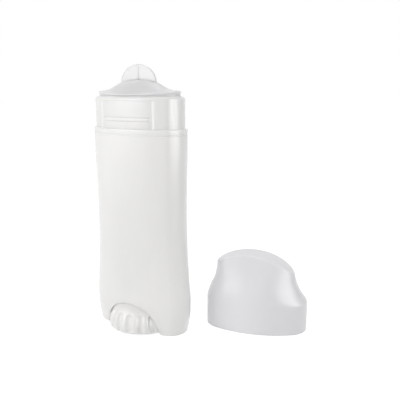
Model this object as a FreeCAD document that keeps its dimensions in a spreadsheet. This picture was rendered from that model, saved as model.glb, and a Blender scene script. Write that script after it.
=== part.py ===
"""Refillable deodorant stick container: an oval twist-up pack with its cap taken off.

Frame: millimetres, +Z up, origin on the container's axis at its foot.  X runs along
the long side of the oval, and the front face looks along -Y.  The container is the
same on both sides of the XZ and YZ planes, so the moulded shells are built as one
quarter and mirrored twice.
"""
import FreeCAD
import Part

import math
import os
import re

import Sketcher

App = FreeCAD
V = App.Vector
ORIGIN_AXIS_X = -1
ORIGIN_AXIS_Y = -2
START, END, CENTRE = 1, 2, 3
WHOLE_SHAPE = "Whole shape"

# Driving dimensions, in millimetres and degrees: alias, value, what it is.
DIMENSIONS = [
    # Outside of the barrel: nine ovals at equal steps, from the foot to the shoulder.
    ("shoulder_level", 98.4, "height of the ledge that the cap lands on"),
    ("foot_width_half", 24.6, "oval half width at the foot"),
    ("foot_depth_half", 10.4, "half depth at the foot"),
    ("foot_end_radius", 7.9, "end radius at the foot"),
    ("flare_width_half", 26.45, "oval half width where the foot flares widest"),
    ("flare_depth_half", 11.7, "half depth where the foot flares widest"),
    ("flare_end_radius", 8.9, "end radius where the foot flares widest"),
    ("hip_width_half", 25.75, "oval half width at the hip"),
    ("hip_depth_half", 11.75, "half depth at the hip"),
    ("hip_end_radius", 8.95, "end radius at the hip"),
    ("low_waist_width_half", 25.0, "oval half width below the waist"),
    ("low_waist_depth_half", 11.66, "half depth below the waist"),
    ("low_waist_end_radius", 8.9, "end radius below the waist"),
    ("waist_width_half", 24.55, "oval half width at the waist"),
    ("waist_depth_half", 11.75, "half depth at the waist"),
    ("waist_end_radius", 8.95, "end radius at the waist"),
    ("high_waist_width_half", 24.4, "oval half width above the waist"),
    ("high_waist_depth_half", 12.0, "half depth above the waist"),
    ("high_waist_end_radius", 9.15, "end radius above the waist"),
    ("rib_width_half", 24.6, "oval half width below the chest"),
    ("rib_depth_half", 12.4, "half depth below the chest"),
    ("rib_end_radius", 9.45, "end radius below the chest"),
    ("chest_width_half", 24.85, "oval half width at the chest"),
    ("chest_depth_half", 12.8, "half depth at the chest"),
    ("chest_end_radius", 9.75, "end radius at the chest"),
    ("shoulder_width_half", 25.0, "oval half width at the ledge"),
    ("shoulder_depth_half", 13.1, "half depth at the ledge"),
    ("shoulder_end_radius", 10.0, "end radius at the ledge"),
    # Neck, snap bead and the line under the ledge.
    ("foot_edge_radius", 0.7, "round on the outer edge of the foot"),
    ("ledge_edge_radius", 0.35, "round on the edge of the ledge"),
    ("ledge_width", 1.15, "how far the neck is set in from the shoulder"),
    ("neck_height", 14.4, "height of the neck above the ledge"),
    ("neck_edge_radius", 1.35, "round on the outer top edge of the neck"),
    ("panel_width_half", 14.5, "half width of the sunk panel on the neck"),
    ("panel_height", 12.6, "height of the panel above the ledge"),
    ("panel_sink", 0.35, "how deep the panel is sunk"),
    ("bead_width_half", 13.2, "half width of the snap bead"),
    ("bead_level", 4.3, "middle of the bead above the ledge"),
    ("bead_height", 1.8, "height of the bead"),
    ("bead_proud", 0.6, "how far the bead stands out of the panel"),
    ("bead_edge_radius", 0.4, "round on the bead's edges"),
    ("panel_overlap", 0.4, "how deep the bead's root reaches into the panel"),
    ("line_drop", 2.5, "moulded line below the ledge"),
    ("line_height", 0.7, "height of that line"),
    ("line_sink", 0.3, "depth of that line"),
    # Inside of the barrel.
    ("neck_wall", 1.7, "wall of the neck, which sets the bore"),
    ("floor_level", 18.0, "top of the barrel's floor"),
    ("floor_thickness", 2.4, "thickness of that floor"),
    ("skirt_wall", 1.8, "wall of the open skirt at the foot"),
    ("arch_tuck", 1.5, "finger arch's radius short of the wheel's"),
    ("arch_drop", 0.8, "top of the arch below the wheel's"),
    ("arch_foot_radius", 2.2, "round where the arch meets the foot"),
    ("journal_radius", 3.2, "hole in the floor for the spindle"),
    # Twist wheel.
    ("wheel_radius", 17.1, "radius over the ribs"),
    ("wheel_lift", 1.3, "gap between the wheel and the surface it stands over"),
    ("wheel_height", 12.7, "height of the wheel"),
    ("wheel_dome_radius", 14.4, "round of the wheel's domed side"),
    ("wheel_gap", 0.45, "clearance of the barrel round the wheel"),
    ("wheel_wall", 2.2, "wall of the hollow wheel over the ribs"),
    ("wheel_foot_height", 1.0, "plain band below the flutes"),
    ("flute_radius", 2.4, "radius of one finger flute"),
    ("flute_depth", 1.0, "depth of one flute"),
    ("flute_rise", 31, "how far the flutes run up the dome, in degrees"),
    ("flute_count", 18, "number of flutes"),
    ("hub_radius", 5.0, "hub that takes the spindle"),
    ("hub_height", 14.1, "top of the hub above the wheel's foot"),
    ("hub_rise", 1.0, "hub's foot above the wheel's foot"),
    ("socket_side", 3.6, "square socket in the hub"),
    # Spindle.
    ("spindle_radius", 3.0, "screw radius over the thread"),
    ("spindle_top_gap", 8.0, "spindle end below the neck's top"),
    ("collar_radius", 5.2, "collar that lies on the floor"),
    ("collar_height", 1.5, "thickness of that collar"),
    ("collar_gap", 0.15, "end play of the spindle over the floor"),
    ("journal_gap", 0.06, "radial clearance in the floor"),
    ("tang_length", 8.5, "square tang pressed in the hub"),
    ("socket_play", 0.02, "play of the tang in its socket"),
    ("tip_chamfer", 0.8, "chamfer at the spindle's top"),
    # Elevator.
    ("elevator_gap", 0.25, "clearance of the elevator in the bore"),
    ("elevator_rest", 1.0, "elevator above the collar when wound down"),
    ("elevator_height", 8.0, "height of the elevator's rim"),
    ("elevator_wall", 1.2, "wall of the elevator's rim"),
    ("elevator_plate", 1.4, "thickness of the elevator's plate"),
    ("nut_radius", 5.0, "radius of the threaded nut"),
    ("elevator_plate_lift", 2.0, "plate above the foot of the rim"),
    ("nut_step", 1.0, "how much lower the nut ends than the rim"),
    ("nut_gap", 0.08, "radial clearance of the nut over the thread"),
    ("fin_thickness", 1.0, "thickness of the fins that hold the stick"),
    ("fin_length", 13.0, "reach of the long fins from the nut"),
    ("fin_depth", 7.0, "reach of the short fins from the axis"),
    ("fin_height", 4.0, "height of the fins above the plate"),
    # Seal with its pull tab.
    ("seal_gap", 0.15, "clearance of the seal in the bore"),
    ("seal_depth", 4.0, "how far the seal reaches into the neck"),
    ("seal_wall", 0.9, "wall of the seal"),
    ("seal_waist", 1.0, "how far the seal is drawn in at the neck's top"),
    ("lip_lift", 2.1, "lip of the seal above the neck at its two ends"),
    ("lip_sag", 1.3, "how much lower the lip is at the front and back"),
    ("dome_lift", 7.5, "top of the dome above the neck"),
    ("tab_width_half", 9.9, "half width of the pull tab"),
    ("tab_lift", 14.6, "top of the tab above the neck"),
    ("tab_base_lift", 6.1, "widest line of the tab above the neck"),
    ("tab_thickness", 0.9, "thickness of the tab"),
    ("rib_width", 1.7, "width of the rib up the tab"),
    ("rib_proud", 0.7, "how far the rib stands out of the tab"),
    # Cap, standing on its rim beside the container: half widths to the right and left
    # of its axis, half depth and end radius at each station.
    ("cap_band_level", 13.0, "height, top of the straight band"),
    ("cap_band_right_half", 25.0, "half width to the right"),
    ("cap_band_left_half", 25.0, "half width to the left"),
    ("cap_band_depth_half", 13.1, "half depth"),
    ("cap_band_end_radius", 10.0, "end radius"),
    ("cap_edge_level", 13.7, "height, just over the band"),
    ("cap_edge_right_half", 24.97, "half width to the right"),
    ("cap_edge_left_half", 25.0, "half width to the left"),
    ("cap_edge_depth_half", 13.1, "half depth"),
    ("cap_edge_end_radius", 10.0, "end radius"),
    ("cap_bend_level", 15.0, "height, where the sides bend in"),
    ("cap_bend_right_half", 24.6, "half width to the right"),
    ("cap_bend_left_half", 24.85, "half width to the left"),
    ("cap_bend_depth_half", 13.06, "half depth"),
    ("cap_bend_end_radius", 10.0, "end radius"),
    ("cap_shoulder_level", 17.3, "height, round shoulder"),
    ("cap_shoulder_right_half", 22.85, "half width to the right"),
    ("cap_shoulder_left_half", 24.15, "half width to the left"),
    ("cap_shoulder_depth_half", 12.85, "half depth"),
    ("cap_shoulder_end_radius", 9.95, "end radius"),
    ("cap_round_level", 19.5, "height, over the shoulder"),
    ("cap_round_right_half", 21.5, "half width to the right"),
    ("cap_round_left_half", 23.35, "half width to the left"),
    ("cap_round_depth_half", 12.45, "half depth"),
    ("cap_round_end_radius", 9.6, "end radius"),
    ("cap_slope_level", 21.7, "height, slope above the shoulder"),
    ("cap_slope_right_half", 20.35, "half width to the right"),
    ("cap_slope_left_half", 22.45, "half width to the left"),
    ("cap_slope_depth_half", 11.85, "half depth"),
    ("cap_slope_end_radius", 9.15, "end radius"),
    ("cap_fall_level", 24.0, "height, foot of the slope"),
    ("cap_fall_right_half", 19.5, "half width to the right"),
    ("cap_fall_left_half", 21.35, "half width to the left"),
    ("cap_fall_depth_half", 11.05, "half depth"),
    ("cap_fall_end_radius", 8.5, "end radius"),
    ("cap_hollow_level", 26.3, "height, hollow under the head"),
    ("cap_hollow_right_half", 18.9, "half width to the right"),
    ("cap_hollow_left_half", 20.7, "half width to the left"),
    ("cap_hollow_depth_half", 10.2, "half depth"),
    ("cap_hollow_end_radius", 7.9, "end radius"),
    ("cap_neck_level", 30.3, "height, lower head"),
    ("cap_neck_right_half", 18.05, "half width to the right"),
    ("cap_neck_left_half", 20.1, "half width to the left"),
    ("cap_neck_depth_half", 8.7, "half depth"),
    ("cap_neck_end_radius", 6.7, "end radius"),
    ("cap_head_level", 34.6, "height, upper head"),
    ("cap_head_right_half", 17.8, "half width to the right"),
    ("cap_head_left_half", 19.95, "half width to the left"),
    ("cap_head_depth_half", 7.1, "half depth"),
    ("cap_head_end_radius", 5.4, "end radius"),
    ("cap_crown_level", 39.0, "height, above the arched top"),
    ("cap_crown_right_half", 17.7, "half width to the right"),
    ("cap_crown_left_half", 19.85, "half width to the left"),
    ("cap_crown_depth_half", 5.6, "half depth"),
    ("cap_crown_end_radius", 4.2, "end radius"),
    ("cap_wall", 1.1, "wall of the cap"),
    ("cap_top", 37.3, "height of the arched top at its crest"),
    ("cap_arch_radius", 31.0, "radius of the arched top"),
    ("cap_arch_shift", -3.5, "crest of the arch from the cap's axis"),
    ("cap_clear", 25.5, "half width of the cutter for the arched top"),
    ("cap_x", 49.6, "cap's axis along X"),
    ("cap_y", 27.45, "cap's axis along Y"),
    ("cap_turn", 16.2, "cap's turn about its axis, in degrees"),
]

# Sizes that follow from the ones above, worked out in the sheet.
STATIONS = ["foot", "flare", "hip", "low_waist", "waist", "high_waist", "rib", "chest",
            "shoulder"]
CAP_STATIONS = ["cap_band", "cap_edge", "cap_bend", "cap_shoulder", "cap_round",
                "cap_slope", "cap_fall", "cap_hollow", "cap_neck", "cap_head", "cap_crown"]
DERIVED = [(station + "_level", "=shoulder_level * %d / 8" % step)
           for step, station in enumerate(STATIONS[:-1])]
DERIVED += [
    ("neck_width_half", "=shoulder_width_half - ledge_width"),
    ("neck_depth_half", "=shoulder_depth_half - ledge_width"),
    ("neck_end_radius", "=shoulder_end_radius - ledge_width"),
    ("neck_top", "=shoulder_level + neck_height"),
    ("neck_radius", "=(neck_width_half^2 + neck_depth_half^2 - 2 * neck_width_half"
                    " * neck_end_radius) / (2 * (neck_depth_half - neck_end_radius))"),
    ("panel_depth_half", "=neck_depth_half - panel_sink"),
    ("panel_radius", "=neck_radius - panel_sink"),
    ("bead_under", "=shoulder_level + bead_level - bead_height / 2"),
    ("line_top", "=shoulder_level - line_drop + line_height / 2"),
    ("line_width_half", "=shoulder_width_half - line_sink"),
    ("line_depth_half", "=shoulder_depth_half - line_sink"),
    ("line_end_radius", "=shoulder_end_radius - line_sink"),
    ("line_clear", "=shoulder_width_half + ledge_width"),
    ("panel_top", "=shoulder_level + panel_height"),
    ("bore_length", "=neck_top - floor_level"),
    ("arch_reach", "=shoulder_width_half"),
    ("bore_width_half", "=neck_width_half - neck_wall"),
    ("bore_depth_half", "=neck_depth_half - neck_wall"),
    ("bore_end_radius", "=neck_end_radius - neck_wall"),
    ("floor_under", "=floor_level - floor_thickness"),
    ("wheel_plate_top", "=wheel_lift + wheel_height"),
    ("wheel_shoulder", "=wheel_lift + wheel_foot_height"),
    ("wheel_middle", "=wheel_radius - wheel_dome_radius"),
    ("wheel_crown", "=wheel_middle + sqrt(wheel_dome_radius^2"
                    " - (wheel_plate_top - wheel_shoulder)^2)"),
    ("hollow_crown", "=wheel_middle + sqrt((wheel_dome_radius - wheel_wall)^2"
                     " - (wheel_plate_top - wheel_wall - wheel_shoulder)^2)"),
    ("room_crown", "=wheel_middle + sqrt((wheel_dome_radius + wheel_gap)^2"
                   " - (wheel_plate_top + wheel_gap - wheel_shoulder)^2)"),
    ("arch_radius", "=wheel_radius - arch_tuck"),
    ("arch_height", "=wheel_plate_top - arch_drop"),
    ("hub_top", "=wheel_lift + hub_height"),
    ("collar_under", "=floor_level + collar_gap"),
    ("collar_top", "=floor_level + collar_gap + collar_height"),
    ("spindle_top", "=neck_top - spindle_top_gap"),
    ("elevator_foot", "=collar_top + elevator_rest"),
    ("elevator_width_half", "=bore_width_half - elevator_gap"),
    ("elevator_depth_half", "=bore_depth_half - elevator_gap"),
    ("elevator_end_radius", "=bore_end_radius - elevator_gap"),
    ("elevator_top", "=elevator_foot + elevator_height"),
    ("cup_depth", "=elevator_height - elevator_plate_lift - elevator_plate"),
    ("fin_half", "=fin_thickness / 2"),
    ("flute_centre", "=wheel_radius + flute_radius - flute_depth"),
    ("socket_half", "=socket_side / 2"),
    ("socket_depth", "=tang_length + socket_play"),
    ("tang_half", "=socket_side / 2 - socket_play"),
    ("tang_foot", "=hub_top - tang_length"),
    ("plate_under", "=elevator_foot + elevator_plate_lift"),
    ("plate_top", "=elevator_foot + elevator_plate_lift + elevator_plate"),
]

doc = App.newDocument("deodorant_stick")
sheet = doc.addObject("Spreadsheet::Sheet", "dims")
for row, (alias, value, note) in enumerate(DIMENSIONS, start=1):
    sheet.set("A%d" % row, alias)
    sheet.set("B%d" % row, str(value))
    sheet.set("C%d" % row, note)
    sheet.setAlias("B%d" % row, alias)
for row, (alias, formula) in enumerate(DERIVED, start=len(DIMENSIONS) + 2):
    sheet.set("A%d" % row, alias)
    sheet.set("B%d" % row, formula)
    sheet.setAlias("B%d" % row, alias)
doc.recompute()


def size(alias):
    """The value of one named cell."""
    return float(sheet.get(alias))


def bind(target, prop, formula):
    """Bind a property to the sheet; the formula names the cells plainly."""
    target.setExpression(prop, re.sub(r"[a-z][a-z_]+", r"dims.\g<0>", formula))


def new_body(name):
    body = doc.addObject("PartDesign::Body", name + "_body")
    body.Label = name
    return body


def new_sketch(body, name, role="XY_Plane", level=None):
    """A sketch on one of the body's own origin planes, raised by a named level."""
    sketch = body.newObject("Sketcher::SketchObject", name)
    plane = [f for f in body.Origin.OriginFeatures if f.Role == role][0]
    sketch.AttachmentSupport = [(plane, "")]
    sketch.MapMode = "FlatFace"
    if level is not None:
        bind(sketch, "AttachmentOffset.Base.z", level)
    return sketch


def limit(sketch, kind, *where, value, formula):
    """Add a dimension and bind it to the sheet."""
    index = sketch.addConstraint(Sketcher.Constraint(kind, *where, value))
    bind(sketch, "Constraints[%d]" % index, formula)
    return index


def join(sketch, first, second):
    sketch.addConstraint(Sketcher.Constraint("Coincident", first, END, second, START))


def oval_numbers(width, depth, end):
    """Broad radius, centres and joint of the four-centre oval's first quarter."""
    broad = (width * width + depth * depth - 2 * width * end) / (2 * (depth - end))
    end_x, broad_y = width - end, depth - broad
    run = math.hypot(end_x, broad_y)
    joint = V(end_x * broad / run, broad_y - broad_y * broad / run, 0)
    return broad, end_x, broad_y, joint, math.atan2(-broad_y, end_x)


def quarter_oval(body, name, width, depth, end, level=None, side=1):
    """Closed quarter of an oval: two straight sides on the axes and two tangent arcs.

    width, depth and end are formulas over named cells; side -1 draws it towards -X."""
    a, b, r = value_of(width), value_of(depth), value_of(end)
    broad, end_x, broad_y, joint, turn = oval_numbers(a, b, r)
    sk = new_sketch(body, name, "XY_Plane", level)
    line, arc = Part.LineSegment, Part.ArcOfCircle
    up = V(0, 0, 1)
    if side > 0:
        spans = ((0, turn), (turn, math.pi / 2))
    else:
        spans = ((math.pi - turn, math.pi), (math.pi / 2, math.pi - turn))
    sk.addGeometry([
        line(V(0, 0, 0), V(side * a, 0, 0)),
        arc(Part.Circle(V(side * end_x, 0, 0), up, r), *spans[0]),
        arc(Part.Circle(V(0, broad_y, 0), up, broad), *spans[1]),
        line(V(0, b, 0), V(0, 0, 0)),
    ], False)
    first, last = (START, END) if side > 0 else (END, START)
    sk.addConstraint(Sketcher.Constraint("Coincident", 0, END, 1, first))
    sk.addConstraint(Sketcher.Constraint("Tangent", 1, last, 2, first))
    sk.addConstraint(Sketcher.Constraint("Coincident", 2, last, 3, START))
    join(sk, 3, 0)
    sk.addConstraint(Sketcher.Constraint("Coincident", 0, START, -1, START))
    sk.addConstraint(Sketcher.Constraint("Horizontal", 0))
    sk.addConstraint(Sketcher.Constraint("Vertical", 3))
    sk.addConstraint(Sketcher.Constraint("PointOnObject", 1, CENTRE, ORIGIN_AXIS_X))
    sk.addConstraint(Sketcher.Constraint("PointOnObject", 2, CENTRE, ORIGIN_AXIS_Y))
    near, far = (START, END) if side > 0 else (END, START)
    limit(sk, "DistanceX", 0, near, 0, far, value=a, formula=width)
    limit(sk, "DistanceY", 3, END, 3, START, value=b, formula=depth)
    limit(sk, "Radius", 1, value=r, formula=end)
    return sk


def value_of(formula):
    """Number that a sum or difference of named cells gives."""
    total = 0.0
    for sign, word in re.findall(r"([+-]?)\s*([a-z][a-z_]+|[0-9.]+)", formula):
        number = size(word) if word[0].isalpha() else float(word)
        total += -number if sign == "-" else number
    return total


def quarter_disc(body, name, radius, level=None):
    """Closed quarter of a disc round the container's axis."""
    r = value_of(radius)
    sk = new_sketch(body, name, "XY_Plane", level)
    sk.addGeometry([
        Part.LineSegment(V(0, 0, 0), V(r, 0, 0)),
        Part.ArcOfCircle(Part.Circle(V(0, 0, 0), V(0, 0, 1), r), 0, math.pi / 2),
        Part.LineSegment(V(0, r, 0), V(0, 0, 0)),
    ], False)
    join(sk, 0, 1)
    join(sk, 1, 2)
    join(sk, 2, 0)
    sk.addConstraint(Sketcher.Constraint("Coincident", 0, START, -1, START))
    sk.addConstraint(Sketcher.Constraint("Coincident", 1, CENTRE, -1, START))
    sk.addConstraint(Sketcher.Constraint("Horizontal", 0))
    sk.addConstraint(Sketcher.Constraint("Vertical", 2))
    limit(sk, "Radius", 1, value=r, formula=radius)
    return sk


def quarter_band(body, name, radius, inner, outer, reach, level):
    """Piece of a ring on the broad face: from the YZ plane out to a named reach.

    The two arcs share a centre on the Y axis; inner and outer say where they cross it."""
    big, y_in, y_out, x_out = (value_of(f) for f in (radius, inner, outer, reach))
    centre = y_in - big
    sk = new_sketch(body, name, "XY_Plane", level)
    turn_in = math.acos(x_out / big)
    turn_out = math.acos(x_out / (big + y_out - y_in))
    near = V(x_out, centre + big * math.sin(turn_in), 0)
    far = V(x_out, centre + (big + y_out - y_in) * math.sin(turn_out), 0)
    sk.addGeometry([
        Part.ArcOfCircle(Part.Circle(V(0, centre, 0), V(0, 0, 1), big), turn_in, math.pi / 2),
        Part.LineSegment(V(0, y_in, 0), V(0, y_out, 0)),
        Part.ArcOfCircle(Part.Circle(V(0, centre, 0), V(0, 0, 1), big + y_out - y_in),
                         turn_out, math.pi / 2),
        Part.LineSegment(far, near),
    ], False)
    sk.addConstraint(Sketcher.Constraint("Coincident", 0, END, 1, START))
    sk.addConstraint(Sketcher.Constraint("Coincident", 1, END, 2, END))
    sk.addConstraint(Sketcher.Constraint("Coincident", 2, START, 3, START))
    sk.addConstraint(Sketcher.Constraint("Coincident", 3, END, 0, START))
    sk.addConstraint(Sketcher.Constraint("PointOnObject", 0, CENTRE, ORIGIN_AXIS_Y))
    sk.addConstraint(Sketcher.Constraint("Coincident", 2, CENTRE, 0, CENTRE))
    sk.addConstraint(Sketcher.Constraint("PointOnObject", 1, START, ORIGIN_AXIS_Y))
    sk.addConstraint(Sketcher.Constraint("PointOnObject", 1, END, ORIGIN_AXIS_Y))
    sk.addConstraint(Sketcher.Constraint("Vertical", 3))
    limit(sk, "Radius", 0, value=big, formula=radius)
    limit(sk, "DistanceY", -1, START, 1, START, value=y_in, formula=inner)
    limit(sk, "DistanceY", -1, START, 1, END, value=y_out, formula=outer)
    limit(sk, "DistanceX", -1, START, 3, END, value=x_out, formula=reach)
    return sk


def quarter_frame(body, name, width, depth, end, clear, level):
    """What lies outside a quarter oval, out to a square corner clear of the shell."""
    a, b, r = value_of(width), value_of(depth), value_of(end)
    far = value_of(clear)
    broad, end_x, broad_y, joint, turn = oval_numbers(a, b, r)
    sk = new_sketch(body, name, "XY_Plane", level)
    line, arc = Part.LineSegment, Part.ArcOfCircle
    sk.addGeometry([
        arc(Part.Circle(V(end_x, 0, 0), V(0, 0, 1), r), 0, turn),
        arc(Part.Circle(V(0, broad_y, 0), V(0, 0, 1), broad), turn, math.pi / 2),
        line(V(0, b, 0), V(0, far, 0)),
        line(V(0, far, 0), V(far, far, 0)),
        line(V(far, far, 0), V(far, 0, 0)),
        line(V(far, 0, 0), V(a, 0, 0)),
    ], False)
    sk.addConstraint(Sketcher.Constraint("Tangent", 0, END, 1, START))
    join(sk, 1, 2)
    join(sk, 2, 3)
    join(sk, 3, 4)
    join(sk, 4, 5)
    join(sk, 5, 0)
    sk.addConstraint(Sketcher.Constraint("PointOnObject", 0, CENTRE, ORIGIN_AXIS_X))
    sk.addConstraint(Sketcher.Constraint("PointOnObject", 1, CENTRE, ORIGIN_AXIS_Y))
    sk.addConstraint(Sketcher.Constraint("PointOnObject", 0, START, ORIGIN_AXIS_X))
    sk.addConstraint(Sketcher.Constraint("PointOnObject", 1, END, ORIGIN_AXIS_Y))
    sk.addConstraint(Sketcher.Constraint("Vertical", 2))
    sk.addConstraint(Sketcher.Constraint("Horizontal", 3))
    sk.addConstraint(Sketcher.Constraint("Vertical", 4))
    sk.addConstraint(Sketcher.Constraint("Horizontal", 5))
    limit(sk, "DistanceX", -1, START, 0, START, value=a, formula=width)
    limit(sk, "DistanceY", -1, START, 1, END, value=b, formula=depth)
    limit(sk, "Radius", 0, value=r, formula=end)
    limit(sk, "DistanceX", -1, START, 4, END, value=far, formula=clear)
    limit(sk, "DistanceY", -1, START, 2, END, value=far, formula=clear)
    return sk


def arch_outline(body):
    """Finger arch across the whole barrel: a round arch that flares out to the foot."""
    big, top, small = size("arch_radius"), size("arch_height"), size("arch_foot_radius")
    mid = top - big
    foot = math.sqrt((big + small) ** 2 - (small - mid) ** 2)
    turn = math.atan2(small - mid, foot)
    sk = new_sketch(body, "arch_outline", "XZ_Plane")
    arc = Part.ArcOfCircle
    sk.addGeometry([
        Part.LineSegment(V(-foot, 0, 0), V(foot, 0, 0)),
        arc(Part.Circle(V(foot, small, 0), V(0, 0, 1), small), math.pi + turn, math.pi * 1.5),
        arc(Part.Circle(V(0, mid, 0), V(0, 0, 1), big), turn, math.pi - turn),
        arc(Part.Circle(V(-foot, small, 0), V(0, 0, 1), small), -math.pi / 2, -turn),
    ], False)
    sk.addConstraint(Sketcher.Constraint("Tangent", 0, END, 1, END))
    sk.addConstraint(Sketcher.Constraint("Tangent", 1, START, 2, START))
    sk.addConstraint(Sketcher.Constraint("Tangent", 2, END, 3, END))
    sk.addConstraint(Sketcher.Constraint("Tangent", 3, START, 0, START))
    sk.addConstraint(Sketcher.Constraint("PointOnObject", 0, START, ORIGIN_AXIS_X))
    sk.addConstraint(Sketcher.Constraint("PointOnObject", 2, CENTRE, ORIGIN_AXIS_Y))
    sk.addConstraint(Sketcher.Constraint("Equal", 1, 3))
    limit(sk, "DistanceY", -1, START, 2, CENTRE, value=mid, formula="arch_height - arch_radius")
    limit(sk, "Radius", 2, value=big, formula="arch_radius")
    limit(sk, "Radius", 1, value=small, formula="arch_foot_radius")
    return sk


def disc(body, name, radius, level):
    """Whole disc round the axis."""
    sk = new_sketch(body, name, "XY_Plane", level)
    sk.addGeometry(Part.Circle(V(0, 0, 0), V(0, 0, 1), value_of(radius)), False)
    sk.addConstraint(Sketcher.Constraint("Coincident", 0, CENTRE, -1, START))
    limit(sk, "Radius", 0, value=value_of(radius), formula=radius)
    return sk


def outline(body, name, role, points, level=None, bulges=()):
    """Closed profile through named points; each point is a pair of formulas.

    bulges lists the sides drawn as quarter rounds: (side, centre pair, radius)."""
    sk = new_sketch(body, name, role, level)
    spots = [V(value_of(x) if x else 0, value_of(y) if y else 0, 0) for x, y in points]
    count = len(spots)
    rounds = {side: (centre, radius) for side, centre, radius in bulges}
    first = [START] * count
    for i, spot in enumerate(spots):
        after = spots[(i + 1) % count]
        if i in rounds:
            (cx, cy), radius = rounds[i]
            centre = V(value_of(cx), value_of(cy), 0)
            start = math.atan2(spot.y - centre.y, spot.x - centre.x)
            stop = math.atan2(after.y - centre.y, after.x - centre.x)
            if stop < start:
                start, stop, first[i] = stop, start, END
            sk.addGeometry(Part.ArcOfCircle(
                Part.Circle(centre, V(0, 0, 1), value_of(radius)), start, stop), False)
        else:
            sk.addGeometry(Part.LineSegment(spot, after), False)
    for i in range(count):
        after = (i + 1) % count
        last = START if first[i] == END else END
        sk.addConstraint(Sketcher.Constraint("Coincident", i, last, after, first[after]))
    for i, (x, y) in enumerate(points):
        if x:
            limit(sk, "DistanceX", -1, START, i, first[i], value=spots[i].x, formula=x)
        else:
            sk.addConstraint(Sketcher.Constraint("PointOnObject", i, first[i], ORIGIN_AXIS_Y))
        if y:
            limit(sk, "DistanceY", -1, START, i, first[i], value=spots[i].y, formula=y)
        else:
            sk.addConstraint(Sketcher.Constraint("PointOnObject", i, first[i], ORIGIN_AXIS_X))
    for side, (centre, radius) in rounds.items():
        limit(sk, "Radius", side, value=value_of(radius), formula=radius)
    return sk


def volume(body):
    doc.recompute()
    return body.Shape.Volume


def must_change(body, before, grows, name):
    """A feature that misses the solid shows no error, so its effect is measured."""
    after = volume(body)
    if (after - before) * (1 if grows else -1) < 1e-3:
        raise RuntimeError("%s changed nothing: %.3f to %.3f" % (name, before, after))


def pad(body, sketch, name, length):
    before = body.Shape.Volume if body.Shape.Solids else 0.0
    feature = body.newObject("PartDesign::Pad", name)
    feature.Profile = sketch
    bind(feature, "Length", length)
    must_change(body, before, True, name)
    return feature


def pocket(body, sketch, name, length, both_ways=False):
    before = volume(body)
    feature = body.newObject("PartDesign::Pocket", name)
    feature.Profile = sketch
    feature.Midplane = both_ways
    bind(feature, "Length", length)
    must_change(body, before, False, name)
    return feature


def loft(body, sketches, name, cut=False):
    before = body.Shape.Volume if body.Shape.Solids else 0.0
    kind = "PartDesign::SubtractiveLoft" if cut else "PartDesign::AdditiveLoft"
    feature = body.newObject(kind, name)
    feature.Profile = sketches[0]
    feature.Sections = [(s, [""]) for s in sketches[1:]]
    must_change(body, before, not cut, name)
    return feature


def turned(body, sketch, name, cut=False):
    """Full turn of a profile round the sketch's vertical axis."""
    before = volume(body) if cut else (body.Shape.Volume if body.Shape.Solids else 0.0)
    kind = "PartDesign::Groove" if cut else "PartDesign::Revolution"
    feature = body.newObject(kind, name)
    feature.Profile = sketch
    feature.ReferenceAxis = (sketch, ["V_Axis"])
    feature.Angle = 360
    must_change(body, before, not cut, name)
    return feature


def round_edges(body, name, radius, wanted, kind="PartDesign::Fillet"):
    """Round (or chamfer) the edges of the tip that pass a test on their bounding box."""
    doc.recompute()
    base = body.Tip
    names = ["Edge%d" % i for i, e in enumerate(base.Shape.Edges, start=1) if wanted(e)]
    if not names:
        raise RuntimeError("%s found no edge" % name)
    feature = body.newObject(kind, name)
    feature.Base = (base, names)
    bind(feature, "Radius" if kind.endswith("Fillet") else "Size", radius)
    doc.recompute()
    return feature


def at_level(edge, level, slack=1e-4):
    box = edge.BoundBox
    return abs(box.ZMin - level) < slack and abs(box.ZMax - level) < slack


def straight(edge):
    return edge.Curve.TypeId == "Part::GeomLine"


def outside(edge, station):
    """True for an edge on the outer oval of that station, told by its middle."""
    spot = edge.valueAt((edge.FirstParameter + edge.LastParameter) / 2)
    wide, deep = size(station + "_width_half"), size(station + "_depth_half")
    return not straight(edge) and (spot.x / wide) ** 2 + (spot.y / deep) ** 2 > 0.97


def past_panel(edge):
    """True for an edge on the face of the snap bead."""
    spot = edge.valueAt((edge.FirstParameter + edge.LastParameter) / 2)
    big = size("panel_radius")
    return math.hypot(spot.x, abs(spot.y) + big - size("panel_depth_half")) > big + 0.2


def mirrored(body, name, role):
    """Whole body reflected in one of its own origin planes."""
    doc.recompute()
    feature = body.newObject("PartDesign::Mirrored", name)
    plane = [f for f in body.Origin.OriginFeatures if f.Role == role][0]
    feature.TransformMode = WHOLE_SHAPE
    feature.MirrorPlane = (plane, [""])
    body.Tip = feature
    doc.recompute()
    return feature


def whole(body):
    """Quarter to whole: mirrored over the XZ plane, then over the YZ plane."""
    mirrored(body, body.Label + "_front_and_back", "XZ_Plane")
    mirrored(body, body.Label + "_both_ends", "YZ_Plane")


# ---------------------------------------------------------------- barrel

barrel = new_body("barrel")
rings = []
for station in STATIONS:
    rings.append(quarter_oval(barrel, "barrel_" + station, station + "_width_half",
                              station + "_depth_half", station + "_end_radius",
                              station + "_level"))
loft(barrel, rings, "barrel_shell")
pad(barrel, quarter_oval(barrel, "neck_outline", "neck_width_half", "neck_depth_half",
                         "neck_end_radius", "shoulder_level"), "neck", "neck_height")
pocket(barrel, quarter_band(barrel, "panel_outline", "panel_radius", "panel_depth_half",
                            "shoulder_depth_half", "panel_width_half", "panel_top"),
       "neck_panel", "panel_height")
pad(barrel, quarter_band(barrel, "bead_outline", "panel_radius - panel_overlap",
                         "panel_depth_half - panel_overlap", "panel_depth_half + bead_proud",
                         "bead_width_half", "bead_under"), "snap_bead", "bead_height")
pocket(barrel, quarter_frame(barrel, "line_outline", "line_width_half", "line_depth_half",
                             "line_end_radius", "line_clear", "line_top"),
       "moulded_line", "line_height")
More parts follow.
